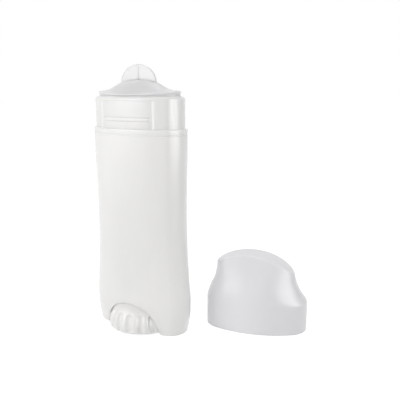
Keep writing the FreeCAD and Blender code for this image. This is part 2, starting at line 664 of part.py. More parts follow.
pocket(barrel, quarter_oval(barrel, "bore_outline", "bore_width_half", "bore_depth_half",
                            "bore_end_radius", "neck_top"), "bore", "bore_length")
skirt = []
for station, level in (("foot", "foot_level"), ("flare", "floor_under")):
    skirt.append(quarter_oval(barrel, "skirt_" + station, station + "_width_half - skirt_wall",
                              station + "_depth_half - skirt_wall",
                              station + "_end_radius - skirt_wall", level))
loft(barrel, skirt, "open_skirt", cut=True)
whole(barrel)
round_edges(barrel, "neck_edge_round", "neck_edge_radius",
            lambda e: at_level(e, size("neck_top")) and outside(e, "neck"))
round_edges(barrel, "ledge_edge_round", "ledge_edge_radius",
            lambda e: at_level(e, size("shoulder_level")) and outside(e, "shoulder"))
round_edges(barrel, "foot_edge_round", "foot_edge_radius",
            lambda e: at_level(e, 0) and outside(e, "foot"))
round_edges(barrel, "snap_bead_round", "bead_edge_radius",
            lambda e: (at_level(e, size("bead_under"))
                       or at_level(e, size("bead_under") + size("bead_height")))
            and not straight(e) and past_panel(e))
pocket(barrel, arch_outline(barrel), "finger_arch", "arch_reach * 2", both_ways=True)
turned(barrel, outline(barrel, "wheel_room_outline", "XZ_Plane", [
    ("", ""),
    ("wheel_radius + wheel_gap", ""),
    ("wheel_radius + wheel_gap", "wheel_shoulder"),
    ("room_crown", "wheel_plate_top + wheel_gap"),
    ("", "wheel_plate_top + wheel_gap"),
], bulges=[(2, ("wheel_middle", "wheel_shoulder"), "wheel_dome_radius + wheel_gap")]),
    "wheel_room", cut=True)
pocket(barrel, disc(barrel, "journal_outline", "journal_radius", "floor_level"), "journal",
       "floor_thickness")


# ---------------------------------------------------------------- twist wheel
wheel = new_body("knob")
turned(wheel, outline(wheel, "wheel_profile", "XZ_Plane", [
    ("", "wheel_lift + hub_rise"),
    ("hub_radius", "wheel_lift + hub_rise"),
    ("hub_radius", "wheel_plate_top - wheel_wall"),
    ("hollow_crown", "wheel_plate_top - wheel_wall"),
    ("wheel_radius - wheel_wall", "wheel_shoulder"),
    ("wheel_radius - wheel_wall", "wheel_lift"),
    ("wheel_radius", "wheel_lift"),
    ("wheel_radius", "wheel_shoulder"),
    ("wheel_crown", "wheel_plate_top"),
    ("hub_radius", "wheel_plate_top"),
    ("hub_radius", "hub_top"),
    ("", "hub_top"),
], bulges=[(3, ("wheel_middle", "wheel_shoulder"), "wheel_dome_radius - wheel_wall"),
           (7, ("wheel_middle", "wheel_shoulder"), "wheel_dome_radius")]), "wheel_turned")


# Round of one flute at the foot of the dome, with the line that the dome bends about.
flute_sketch = new_sketch(wheel, "flute_outline", "XY_Plane", "wheel_shoulder")
flute_sketch.addGeometry(Part.Circle(V(value_of("flute_centre"), 0, 0), V(0, 0, 1),
                                     size("flute_radius")), False)
flute_sketch.addConstraint(Sketcher.Constraint("PointOnObject", 0, CENTRE, ORIGIN_AXIS_X))
limit(flute_sketch, "DistanceX", -1, START, 0, CENTRE, value=size("flute_centre"),
      formula="flute_centre")
limit(flute_sketch, "Radius", 0, value=size("flute_radius"), formula="flute_radius")
middle = size("wheel_middle")
flute_sketch.addGeometry(Part.LineSegment(V(middle, 0, 0), V(middle, 1, 0)), True)
flute_sketch.addConstraint(Sketcher.Constraint("Vertical", 1))
flute_sketch.addConstraint(Sketcher.Constraint("PointOnObject", 1, START, ORIGIN_AXIS_X))
limit(flute_sketch, "DistanceX", -1, START, 1, START, value=middle, formula="wheel_middle")
limit(flute_sketch, "DistanceY", 1, START, 1, END, value=size("flute_depth"),
      formula="flute_depth")
before = volume(wheel)
flute = wheel.newObject("PartDesign::Groove", "flute")
flute.Profile = flute_sketch
flute.ReferenceAxis = (flute_sketch, ["Axis0"])
bind(flute, "Angle", "flute_rise")
flute.Reversed = True
must_change(wheel, before, False, "flute")
before = volume(wheel)
flutes = wheel.newObject("PartDesign::PolarPattern", "flutes")
flutes.Originals = [flute]
flutes.Axis = (flute_sketch, ["N_Axis"])
flutes.Angle = 360
bind(flutes, "Occurrences", "flute_count")
wheel.Tip = flutes
must_change(wheel, before, False, "flutes")
socket = outline(wheel, "socket_outline", "XY_Plane", [
    ("0 - socket_half", "0 - socket_half"), ("socket_half", "0 - socket_half"),
    ("socket_half", "socket_half"), ("0 - socket_half", "socket_half")], "hub_top")
pocket(wheel, socket, "socket", "socket_depth")

# ---------------------------------------------------------------- spindle
spindle = new_body("spindle")
turned(spindle, outline(spindle, "spindle_profile", "XZ_Plane", [
    ("", "hub_top"),
    ("journal_radius - journal_gap", "hub_top"),
    ("journal_radius - journal_gap", "collar_under"),
    ("collar_radius", "collar_under"),
    ("collar_radius", "collar_top"),
    ("spindle_radius", "collar_top"),
    ("spindle_radius", "spindle_top - tip_chamfer"),
    ("spindle_radius - tip_chamfer", "spindle_top"),
    ("", "spindle_top"),
]), "spindle_turned")
tang = outline(spindle, "tang_outline", "XY_Plane", [
    ("0 - tang_half", "0 - tang_half"), ("tang_half", "0 - tang_half"),
    ("tang_half", "tang_half"), ("0 - tang_half", "tang_half")], "tang_foot")
pad(spindle, tang, "tang", "tang_length")

# ---------------------------------------------------------------- elevator
elevator = new_body("elevator")
pad(elevator, quarter_oval(elevator, "elevator_outline", "elevator_width_half",
                           "elevator_depth_half", "elevator_end_radius", "elevator_foot"),
    "elevator_block", "elevator_height")
pocket(elevator, quarter_oval(elevator, "cup_outline", "elevator_width_half - elevator_wall",
                              "elevator_depth_half - elevator_wall",
                              "elevator_end_radius - elevator_wall", "elevator_top"),
       "cup", "cup_depth")
pocket(elevator, quarter_oval(elevator, "underside_outline",
                              "elevator_width_half - elevator_wall",
                              "elevator_depth_half - elevator_wall",
                              "elevator_end_radius - elevator_wall", "plate_under"),
       "underside", "elevator_plate_lift")
pad(elevator, quarter_disc(elevator, "nut_outline", "nut_radius", "elevator_foot"), "nut",
    "elevator_height - nut_step")
pad(elevator, outline(elevator, "long_fin_outline", "XY_Plane", [
    ("", ""), ("fin_length", ""), ("fin_length", "fin_half"), ("", "fin_half")],
    "plate_top"), "long_fin", "fin_height")
pad(elevator, outline(elevator, "short_fin_outline", "XY_Plane", [
    ("", ""), ("fin_half", ""), ("fin_half", "fin_depth"), ("", "fin_depth")],
    "plate_top"), "short_fin", "fin_height")
pocket(elevator, quarter_disc(elevator, "nut_bore_outline", "spindle_radius + nut_gap",
                              "elevator_top"), "nut_bore", "elevator_height")
whole(elevator)


# ---------------------------------------------------------------- cap


def cap_form(name, inset, top):
    """The cap's outside, or its inside when inset by the wall: halves mirrored front to
    back, with the arched top cut across it."""
    body = new_body(name)
    for side, word in ((1, "right"), (-1, "left")):
        pad(body, quarter_oval(body, "%s_%s_rim" % (name, word),
                               "cap_band_%s_half%s" % (word, inset),
                               "cap_band_depth_half" + inset, "cap_band_end_radius" + inset,
                               side=side), "%s_%s_band" % (name, word), "cap_band_level")
        rings = []
        for station in CAP_STATIONS:
            rings.append(quarter_oval(
                body, "%s_%s_%s" % (name, word, station),
                "%s_%s_half%s" % (station, word, inset), station + "_depth_half" + inset,
                station + "_end_radius" + inset,
                station + "_level", side))
        loft(body, rings, "%s_%s_shell" % (name, word))
    mirrored(body, name + "_front_and_back", "XZ_Plane")
    before = volume(body)
    big, high = value_of("cap_arch_radius" + inset), value_of(top)
    far, lift = size("cap_clear"), size("cap_crown_level")
    mid = V(size("cap_arch_shift"), high - big, 0)
    reach = math.asin((far - mid.x) / big), math.asin((far + mid.x) / big)
    sk = new_sketch(body, name + "_arch", "XZ_Plane")
    right = V(far, mid.y + big * math.cos(reach[0]), 0)
    left = V(-far, mid.y + big * math.cos(reach[1]), 0)
    sk.addGeometry([
        Part.ArcOfCircle(Part.Circle(mid, V(0, 0, 1), big), math.pi / 2 - reach[0],
                         math.pi / 2 + reach[1]),
        Part.LineSegment(left, V(-far, lift + 4, 0)),
        Part.LineSegment(V(-far, lift + 4, 0), V(far, lift + 4, 0)),
        Part.LineSegment(V(far, lift + 4, 0), right),
    ], False)
    join(sk, 0, 1)
    join(sk, 1, 2)
    join(sk, 2, 3)
    join(sk, 3, 0)
    sk.addConstraint(Sketcher.Constraint("Vertical", 1))
    sk.addConstraint(Sketcher.Constraint("Horizontal", 2))
    sk.addConstraint(Sketcher.Constraint("Vertical", 3))
    limit(sk, "Radius", 0, value=big, formula="cap_arch_radius" + inset)
    limit(sk, "DistanceX", -1, START, 0, CENTRE, value=mid.x, formula="cap_arch_shift")
    limit(sk, "DistanceY", -1, START, 0, CENTRE, value=mid.y,
          formula="%s - cap_arch_radius%s" % (top, inset.replace("-", "+")))
    limit(sk, "DistanceX", -1, START, 3, START, value=far, formula="cap_clear")
    limit(sk, "DistanceX", 1, END, -1, START, value=far, formula="cap_clear")
    limit(sk, "DistanceY", -1, START, 3, START, value=lift + 4,
          formula="cap_crown_level + 4")
    cut = body.newObject("PartDesign::Pocket", name + "_top")
    cut.Profile = sk
    cut.Midplane = True
    cut.Type = "ThroughAll"
    must_change(body, before, False, name + "_top")
    return body


cap_outside = cap_form("cap_outside", "", "cap_top")
cap_inside = cap_form("cap_inside", " - cap_wall", "cap_top - cap_wall")
cap = doc.addObject("Part::Cut", "cap_shell")
cap.Label = "cap"
cap.Base = cap_outside
cap.Tool = cap_inside
cap.Placement.Rotation = App.Rotation(V(0, 0, 1), size("cap_turn"))
bind(cap, "Placement.Base.x", "cap_x")
bind(cap, "Placement.Base.y", "cap_y")
bind(cap, "Placement.Rotation.Angle", "cap_turn")
doc.recompute()


# ---------------------------------------------------------------- top seal
def oval_wire(width, depth, end, high, sag=0.0, count=7):
    """Smooth closed wire on an oval; its front and back lie lower than its ends by sag."""
    broad, end_x, broad_y, joint, turn = oval_numbers(width, depth, end)
    quarter = [(end_x + end * math.cos(turn * i / count), end * math.sin(turn * i / count))
               for i in range(count)]
    for i in range(count + 1):
        angle = turn + (math.pi / 2 - turn) * i / count
        quarter.append((broad * math.cos(angle), broad_y + broad * math.sin(angle)))
    half = quarter + [(-x, y) for x, y in reversed(quarter[:-1])]
    ring = half + [(x, -y) for x, y in reversed(half[1:-1])]
    curve = Part.BSplineCurve()
    curve.interpolate(Points=[V(x, y, high - sag * (1 - (x / width) ** 2)) for x, y in ring],
                      PeriodicFlag=True)
    return Part.Wire(curve.toShape())


def seal_rings(sections):
    """Wires for (share of the plug's oval, height over the neck, sag, inset) rows."""
    wide = size("bore_width_half") - size("seal_gap")
    deep = size("bore_depth_half") - size("seal_gap")
    end = size("bore_end_radius") - size("seal_gap")
    return [oval_wire(wide * share - inset, deep * share - inset, end * share - inset * 0.8,
                      size("neck_top") + high, sag) for share, high, sag, inset in sections]


waist, wall = size("seal_waist"), size("seal_wall")
lip, sag = size("lip_lift"), size("lip_sag")
dome, foot = size("dome_lift"), -size("seal_depth")
outer_rings = seal_rings([
    (1, foot, 0, 0.35), (1, foot + 0.6, 0, 0), (1, foot + 1.4, 0, 0), (1, -1.3, 0, 0),
    (1, -0.5, 0, waist * 0.5), (1, 0.15, 0, waist), (1, lip - 1.0, sag * 0.7, waist * 0.8),
    (1, lip - 0.55, sag, 0.1), (1, lip - 0.1, sag, -0.12), (1, lip + 0.3, sag, 0.05),
    (1, lip + 0.45, sag, 0.5), (0.9, lip + 0.6, sag * 0.75, 0), (0.8, lip + 0.85, sag * 0.4, 0),
    (0.7, dome * 0.47, 0, 0), (0.63, dome * 0.56, 0, 0), (0.54, dome * 0.71, 0, 0),
    (0.45, dome * 0.84, 0, 0), (0.36, dome * 0.92, 0, 0), (0.24, dome * 0.975, 0, 0),
    (0.1, dome, 0, 0),
])
inner_rings = seal_rings([
    (1, foot, 0, wall), (1, -1.8, 0, wall), (1, -0.6, 0, wall + waist * 0.7),
    (1, 0.2, 0, wall + waist * 1.2), (0.88, lip - 0.75, sag * 0.6, 0),
    (0.78, lip - 0.3, sag * 0.3, 0),
    (0.66, dome * 0.47 - wall, 0, 0), (0.58, dome * 0.57 - wall, 0, 0),
    (0.49, dome * 0.71 - wall, 0, 0), (0.40, dome * 0.83 - wall, 0, 0),
    (0.30, dome * 0.92 - wall, 0, 0), (0.1, dome - wall, 0, 0),
])
outer = Part.makeLoft(outer_rings, True, True)
inner = Part.makeLoft(inner_rings, True, True)
tab_wide, tab_thick = size("tab_width_half"), size("tab_thickness")
tab_low = size("neck_top") + size("tab_base_lift")
tab_high = size("neck_top") + size("tab_lift")
tab_foot = size("neck_top") + dome * 0.55
ellipse = Part.Ellipse(V(tab_wide, -tab_thick / 2, tab_low), V(0, -tab_thick / 2, tab_high),
                       V(0, -tab_thick / 2, tab_low))
arch_edge = Part.ArcOfEllipse(ellipse, 0, math.pi).toShape()
ends = [v.Point for v in arch_edge.Vertexes]
base = [Part.makeLine(ends[1], V(ends[1].x, ends[1].y, tab_foot)),
        Part.makeLine(V(ends[1].x, ends[1].y, tab_foot), V(ends[0].x, ends[0].y, tab_foot)),
        Part.makeLine(V(ends[0].x, ends[0].y, tab_foot), ends[0])]
tab = Part.Face(Part.Wire([arch_edge] + base)).extrude(V(0, tab_thick, 0))
rib_half, rib_deep = size("rib_width") / 2, tab_thick / 2 + size("rib_proud")
rib = Part.makeBox(2 * rib_half, 2 * rib_deep, tab_high - 1.0 - tab_foot,
                   V(-rib_half, -rib_deep, tab_foot))
rib = rib.makeFillet(size("rib_proud") * 0.9, [e for e in rib.Edges
                     if e.BoundBox.ZLength > 1 or abs(e.BoundBox.ZMin - tab_high + 1.0) < 1e-6])
shell = outer.fuse([tab, rib]).cut(inner)
seal = doc.addObject("Part::Feature", "top_seal")
seal.Label = "top_seal"
seal.Shape = shell.removeSplitter()
seal.Placement = App.Placement()
doc.recompute()


# ---------------------------------------------------------------- checks and files
PARTS = [barrel, cap, seal, elevator, spindle, wheel]

for item in doc.Objects:
    if "Invalid" in item.State or "Error" in item.State:
        raise RuntimeError("%s did not compute: %s" % (item.Name, item.State))
os.makedirs("parts", exist_ok=True)
for part in PARTS:
    shape = part.Shape
    if shape.isNull() or not shape.isValid() or len(shape.Solids) != 1:
        raise RuntimeError("%s is not one valid solid" % part.Label)
    shape.exportStep("parts/%s.step" % part.Label)
    print(part.Label, round(shape.Volume, 1))
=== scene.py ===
"""Refillable deodorant stick container with its cap standing beside it.

Metres, in the part's own frame: +Z up, the container's axis at the origin, the front
face towards -Y.  Lengths that come from the moulds are written in millimetres and
turned to metres by mm().
"""
import math

import bmesh
import bpy
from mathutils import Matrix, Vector


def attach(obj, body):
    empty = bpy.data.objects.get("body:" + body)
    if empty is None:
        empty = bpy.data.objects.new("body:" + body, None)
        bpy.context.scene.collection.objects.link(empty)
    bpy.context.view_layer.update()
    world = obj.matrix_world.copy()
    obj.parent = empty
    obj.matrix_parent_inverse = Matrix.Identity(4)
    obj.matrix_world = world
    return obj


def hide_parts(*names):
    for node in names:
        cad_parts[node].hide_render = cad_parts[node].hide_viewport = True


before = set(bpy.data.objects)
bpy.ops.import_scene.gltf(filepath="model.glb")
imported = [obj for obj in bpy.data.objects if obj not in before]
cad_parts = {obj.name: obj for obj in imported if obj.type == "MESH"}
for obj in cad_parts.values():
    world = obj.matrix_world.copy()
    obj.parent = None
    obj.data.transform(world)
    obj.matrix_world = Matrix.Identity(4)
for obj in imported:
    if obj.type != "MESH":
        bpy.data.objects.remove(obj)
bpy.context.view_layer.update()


def mm(value):
    return value * 0.001


MM = mm(1)


# ---------------------------------------------------------------- materials
def srgb(code):
    """Linear colour with alpha from an sRGB hex code such as 'e9e9e8'."""
    channels = [int(code[i:i + 2], 16) / 255.0 for i in (0, 2, 4)]
    return tuple(c / 12.92 if c <= 0.04045 else ((c + 0.055) / 1.055) ** 2.4
                 for c in channels) + (1.0,)


def new_material(name):
    material = bpy.data.materials.new(name)
    material.use_nodes = True
    material.node_tree.nodes.clear()
    return material


def node(material, kind, inputs=None, links=None, **settings):
    """Add a node, set its properties and input values, and link sockets into it."""
    tree = material.node_tree
    item = tree.nodes.new(kind)
    for key, value in settings.items():
        setattr(item, key, value)
    for key, value in (inputs or {}).items():
        item.inputs[key].default_value = value
    for key, (source, output) in (links or {}).items():
        tree.links.new(source.outputs[output], item.inputs[key])
    return item


def cells(across):
    """Scale of a noise whose cells are this many millimetres across."""
    return float(round(1 / mm(across)))


# Sizes of what a moulded face shows, in mm.  The grain is drawn coarser than the real one,
# and deeper than its 0.005, so that it shows.
CLOUD_ACROSS, WEAR_ACROSS, GRAIN_ACROSS, GRAIN_DEEP = 15.4, 4.0, 0.7143, 0.02


def moulded_plastic(name, light, shade, roughness, milky, reach, sheen):
    """Injection-moulded polyolefin: milky through its wall, satin on its face.

    light and shade are the two ends of the flow clouding, milky is the share of the light
    that spreads inside the wall, reach how far it spreads in mm, and sheen the waxy gloss
    over the satin face."""
    material = new_material(name)
    place = node(material, "ShaderNodeTexCoord")
    # Flow clouding from the melt: soft patches, nearly three times as long upwards.
    stretch = node(material, "ShaderNodeMapping", {"Scale": (1.0, 1.0, 0.35)},
                   {"Vector": (place, "Object")})
    cloud = node(material, "ShaderNodeTexNoise",
                 {"Scale": cells(CLOUD_ACROSS), "Detail": 3.0, "Roughness": 0.5},
                 {"Vector": (stretch, "Vector")})
    tint = node(material, "ShaderNodeValToRGB", links={"Fac": (cloud, "Fac")})
    tint.color_ramp.elements[0].position = 0.3
    tint.color_ramp.elements[0].color = srgb(shade)
    tint.color_ramp.elements[1].position = 0.7
    tint.color_ramp.elements[1].color = srgb(light)
    # Patches where the mould's face is a little more worn, and so glossier.
    wear = node(material, "ShaderNodeTexNoise", {"Scale": cells(WEAR_ACROSS), "Detail": 3.0},
                {"Vector": (place, "Object")})
    gloss = node(material, "ShaderNodeMapRange",
                 {"From Min": 0.3, "From Max": 0.7, "To Min": roughness - 0.03,
                  "To Max": roughness + 0.03}, {"Value": (wear, "Fac")})
    # Spark-eroded grain of the mould.
    pits = node(material, "ShaderNodeTexNoise", {"Scale": cells(GRAIN_ACROSS), "Detail": 2.0},
                {"Vector": (place, "Object")})
    bump = node(material, "ShaderNodeBump", {"Strength": 0.35, "Distance": mm(GRAIN_DEEP)},
                {"Height": (pits, "Fac")})
    skin = node(material, "ShaderNodeBsdfPrincipled",
                {"IOR": 1.49, "Subsurface Weight": milky,
                 "Subsurface Radius": tuple(mm(v) for v in reach), "Subsurface Scale": 1.0,
                 "Coat Weight": sheen, "Coat Roughness": 0.22},
                {"Base Color": (tint, "Color"), "Roughness": (gloss, "Result"),
                 "Normal": (bump, "Normal")})
    node(material, "ShaderNodeOutputMaterial", links={"Surface": (skin, "BSDF")})
    return material


# Natural polypropylene, injection moulded, satin: milky white with soft broad highlights.
natural_pp = moulded_plastic("natural_polypropylene", "f4f3f1", "f0efed", 0.35,
                             0.5, (3.0, 3.0, 2.8), 0.8)
# Frosted polypropylene, from a blasted mould: a little cooler, with a duller gloss.
frosted_pp = moulded_plastic("frosted_polypropylene", "f1f1f4", "ececf0", 0.38,
                             0.4, (3.0, 3.0, 3.0), 0.45)
# Natural low-density polyethylene, thin and soft, with a waxy satin face.
waxy_ldpe = moulded_plastic("natural_polyethylene", "ebebed", "e7e7e9", 0.38,
                            0.6, (4.0, 4.0, 4.0), 0.4)


# ---------------------------------------------------------------- forms
def spline(levels, values):
    """Natural cubic curve through values at levels, as a function of the level."""
    count = len(levels)
    gaps = [levels[i + 1] - levels[i] for i in range(count - 1)]
    pull = [0.0] * count
    slack = [0.0] * count
    for i in range(1, count - 1):
        wide = 2 * (levels[i + 1] - levels[i - 1]) - gaps[i - 1] * pull[i - 1]
        pull[i] = gaps[i] / wide
        bend = 6 * ((values[i + 1] - values[i]) / gaps[i]
                    - (values[i] - values[i - 1]) / gaps[i - 1])
        slack[i] = (bend - gaps[i - 1] * slack[i - 1]) / wide
    for i in range(count - 2, -1, -1):
        slack[i] -= pull[i] * slack[i + 1]

    def value(level):
        i = 0
        while i < count - 2 and level > levels[i + 1]:
            i += 1
        low, high = (levels[i + 1] - level) / gaps[i], (level - levels[i]) / gaps[i]
        return (low * values[i] + high * values[i + 1]
                + ((low ** 3 - low) * slack[i] + (high ** 3 - high) * slack[i + 1])
                * gaps[i] ** 2 / 6)
    return value


def blend(first, second, share):
    return first + (second - first) * share


def ease(low, high, value):
    """0 below low, 1 above high, with a smooth rise between."""
    share = min(1.0, max(0.0, (value - low) / (high - low)))
    return share * share * (3 - 2 * share)


def oval(width, depth, end):
    """Radius and centre of the broad arc, centre of the end arc, and where they meet."""
    broad = (width ** 2 + depth ** 2 - 2 * width * end) / (2 * (depth - end))
    end_x, broad_y = width - end, depth - broad
    run = math.hypot(end_x, broad_y)
    return broad, broad_y, end_x, end_x * broad / run, math.atan2(-broad_y, end_x)


# Columns round a quarter of an oval: along the broad arc by X in mm, then round the end by
# the share of its turn that is left.
BROAD_END = 18.3


def oval_point(size, column, true_x=True):
    """Point of an oval (half width, half depth, end radius) at a column of its quarter."""
    kind, value = column
    width, depth, end = size
    broad, broad_y, end_x, joint_x, turn = oval(width, depth, end)
    if kind == "x":
        x = value * (min(1.0, joint_x / BROAD_END) if true_x else joint_x / BROAD_END)
        return x, broad_y + math.sqrt(broad ** 2 - x ** 2)
    return end_x + end * math.cos(turn * value), end * math.sin(turn * value)


def all_round(quarter):
    """Columns of the whole loop from those of a quarter: (column, sign of X, sign of Y)."""
    right_front = [(c, 1, -1) for c in quarter]
    right_back = [(c, 1, 1) for c in reversed(quarter[:-1])]
    left_back = [(c, -1, 1) for c in quarter[1:]]
    left_front = [(c, -1, -1) for c in reversed(quarter[1:-1])]
    return right_front + right_back + left_back + left_front


def bent_grid(across, down, point):
    """Grid of across by down faces, its points set in mm by point(column, row)."""
    form = bmesh.new()
    bmesh.ops.create_grid(form, x_segments=across, y_segments=down, size=1.0)
    for vert in form.verts:
        column = round((vert.co.x + 1) / 2 * across)
        row = round((vert.co.y + 1) / 2 * down)
        vert.co = Vector(point(column, row)) * MM
    return form


def wrapped(columns, rows, point, tube=False):
    """Skin of columns by rows, closed round the columns, its points set by point(c, r).

    With tube the last row is joined to the first one too."""
    return bent_grid(columns, rows if tube else rows - 1,
                     lambda column, row: point(column % columns, row % rows))


def shade_smooth(form, angle):
    """Smooth faces, with a crisp edge where they turn by more than an angle in degrees."""
    for face in form.faces:
        face.smooth = True
    for edge in form.edges:
        edge.smooth = len(edge.link_faces) == 2 and edge.calc_face_angle(0) < math.radians(angle)


def stand_in(form, mesh, material, part, body):
    """Piece named as its mesh, which takes its form and replaces a solid on a body."""
    form.to_mesh(mesh)
    form.free()
    mesh.materials.clear()
    mesh.materials.append(material)
    piece = bpy.data.objects.new(mesh.name, mesh)
    bpy.context.collection.objects.link(piece)
    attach(piece, body)
    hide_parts(part)


# Points nearer than this, in mm, are one point: in a new piece, and in a copy of a solid.
MERGE, COPY_MERGE = 0.004, 0.002


def finished(form, name, material, part, body, angle=40):
    """Merged, outward-facing, smooth piece with crisp edges, in place of a solid."""
    bmesh.ops.remove_doubles(form, verts=form.verts, dist=mm(MERGE))
    bmesh.ops.dissolve_degenerate(form, dist=mm(MERGE), edges=form.edges)
    bmesh.ops.recalc_face_normals(form, faces=form.faces)
    shade_smooth(form, angle)
    stand_in(form, bpy.data.meshes.new(name), material, part, body)


# ---------------------------------------------------------------- barrel
SHOULDER, NECK_TOP, FLOOR, UNDER_FLOOR = 98.4, 112.8, 18.0, 15.6
LEVELS = [SHOULDER * i / 8 for i in range(9)]
body_size = [spline(LEVELS, values) for values in (
    [24.6, 26.45, 25.75, 25.0, 24.55, 24.4, 24.6, 24.85, 25.0],
    [10.4, 11.7, 11.75, 11.66, 11.75, 12.0, 12.4, 12.8, 13.1],
    [7.9, 8.9, 8.95, 8.9, 8.95, 9.15, 9.45, 9.75, 10.0])]
SKIRT_WALL = 1.8
skirt_foot = (24.6 - SKIRT_WALL, 10.4 - SKIRT_WALL, 7.9 - SKIRT_WALL)
skirt_top = (26.45 - SKIRT_WALL, 11.7 - SKIRT_WALL, 8.9 - SKIRT_WALL)
NECK = (23.85, 11.95, 8.85)
BORE = (22.15, 10.25, 7.15)
# Widest half width of the skin, just inside the moulded size.
SKIN_WIDEST = 26.44
LEDGE_ROUND, NECK_ROUND = 0.35, 1.35
# Outer edge of the foot: its round over the arch and beside it, and where that changes.
ARCH_ROUND, FOOT_ROUND, ROUND_FROM, ROUND_TO = 0.35, 0.7, 15.8, 18.5
# Over the first level the rows of the outside are flat, and under the second those of the
# inside begin to follow the skirt's edge.
LOWER_SIDE_TOP, HOLLOW_TOP = 21.0, 14.4
SIDE_ROWS, SIDE_STEP = 36, 2.05
# The rounded edge reaches no deeper than if the skirt's wall were this thick.
THIN_SKIRT = 0.6
# Sunk panel on the neck: half width and top, each with the run of its soft edge.
PANEL_IN, PANEL_OUT, PANEL_TOP, PANEL_END, PANEL_SUNK = 13.8, 15.1, 110.85, 111.15, 0.35
# Snap bead: level of its middle, half height, reach along X before its round end.
BEAD_LEVEL, BEAD_HALF, BEAD_REACH, BEAD_PROUD = 102.7, 0.95, 12.3, 0.6
# Hole in the floor for the spindle, with the flat ring round it.
JOURNAL_HOLE, JOURNAL_RING = 3.2, 5.5
MOUTH_BREAK, FLOOR_BREAK = 0.12, 0.5
# Wheel and the room the barrel leaves for it.
WHEEL_RADIUS, WHEEL_FOOT, WHEEL_TOP, WHEEL_DOME, FOOT_BAND = 17.09, 1.3, 14.0, 14.4, 1.0
WHEEL_MIDDLE, DOME_LOW = WHEEL_RADIUS - WHEEL_DOME, WHEEL_FOOT + FOOT_BAND
ROOM, ROOM_EDGE = 0.3, 0.3
ARCH_RADIUS, ARCH_TOP, ARCH_FOOT = 15.6, 13.2, 2.2
ARCH_LOW = ARCH_TOP - ARCH_RADIUS
FOOT_X = math.sqrt((ARCH_RADIUS + ARCH_FOOT) ** 2 - (ARCH_FOOT - ARCH_LOW) ** 2)
FOOT_TOUCH = FOOT_X * ARCH_RADIUS / (ARCH_RADIUS + ARCH_FOOT)


def arch_level(x):
    """Level of the arch's edge over the foot at a place along X."""
    x = abs(x)
    if x >= FOOT_X:
        return 0.0
    if x > FOOT_TOUCH:
        return ARCH_FOOT - math.sqrt(ARCH_FOOT ** 2 - (FOOT_X - x) ** 2)
    return ARCH_LOW + math.sqrt(ARCH_RADIUS ** 2 - x ** 2)


def room_level(radius):
    """Level of the wheel's room at a distance from the axis."""
    reach, away = WHEEL_DOME + ROOM, radius - WHEEL_MIDDLE
    if away >= reach:
        return max(0.0, DOME_LOW * (1 - (away - reach) / ROOM_EDGE))
    return min(WHEEL_TOP + ROOM, DOME_LOW + math.sqrt(reach ** 2 - away ** 2))


def skin_size(level):
    width, depth, end = [value(min(level, SHOULDER)) for value in body_size]
    return min(width, SKIN_WIDEST), depth, end


def skirt_size(level):
    share = level / LEVELS[1]
    return [blend(low, high, min(1.0, share)) for low, high in zip(skirt_foot, skirt_top)]


def edge_level(size_at, column):
    """Level where a wall of the skirt ends, over the arch and the wheel's room."""
    level = 0.0
    for _ in range(4):
        x, y = oval_point(size_at(level), column)
        level = max(arch_level(x), room_level(math.hypot(x, y)))
    return level


QUARTER = [("x", x) for x in (
    0, 1.5, 3, 4.5, 6, 7.5, 8.6, 9.6, 10.5, 11.3, 12.0, 12.5, 12.8, 13.0, 13.15, 13.3, 13.7,
    14.1, 14.4, 14.7, 15.1, 15.5, 15.75, 16.0, 16.3, 16.6, 17.0, 17.4, 17.9, 18.3)]
QUARTER += [("turn", share) for share in
            (0.93, 0.86, 0.78, 0.7, 0.62, 0.54, 0.46, 0.38, 0.3, 0.22, 0.145, 0.07, 0)]
LOOP = all_round(QUARTER)


def foot_edge(column):
    """Skirt edge at a column: its point along X and Z, and the way it faces."""
    place = QUARTER.index(column)
    ends = []
    for i in (max(place - 1, 0), place, min(place + 1, len(QUARTER) - 1)):
        level = edge_level(skin_size, QUARTER[i])
        ends.append((oval_point(skin_size(level), QUARTER[i])[0], level))
    if place == 0:
        ends[0] = (-ends[2][0], ends[2][1])
    run = math.hypot(ends[2][0] - ends[0][0], ends[2][1] - ends[0][1])
    along = ((ends[2][0] - ends[0][0]) / run, (ends[2][1] - ends[0][1]) / run)
    return ends[1], (along[1], -along[0])


def skin_at(x, level, column):
    """Outer skin at an X of its own on the broad face, and at the column round the ends."""
    if column[0] == "x":
        broad, broad_y, _, joint_x, _ = oval(*skin_size(level))
        return x, broad_y + math.sqrt(broad ** 2 - x ** 2), level
    return oval_point(skin_size(level), column) + (level,)


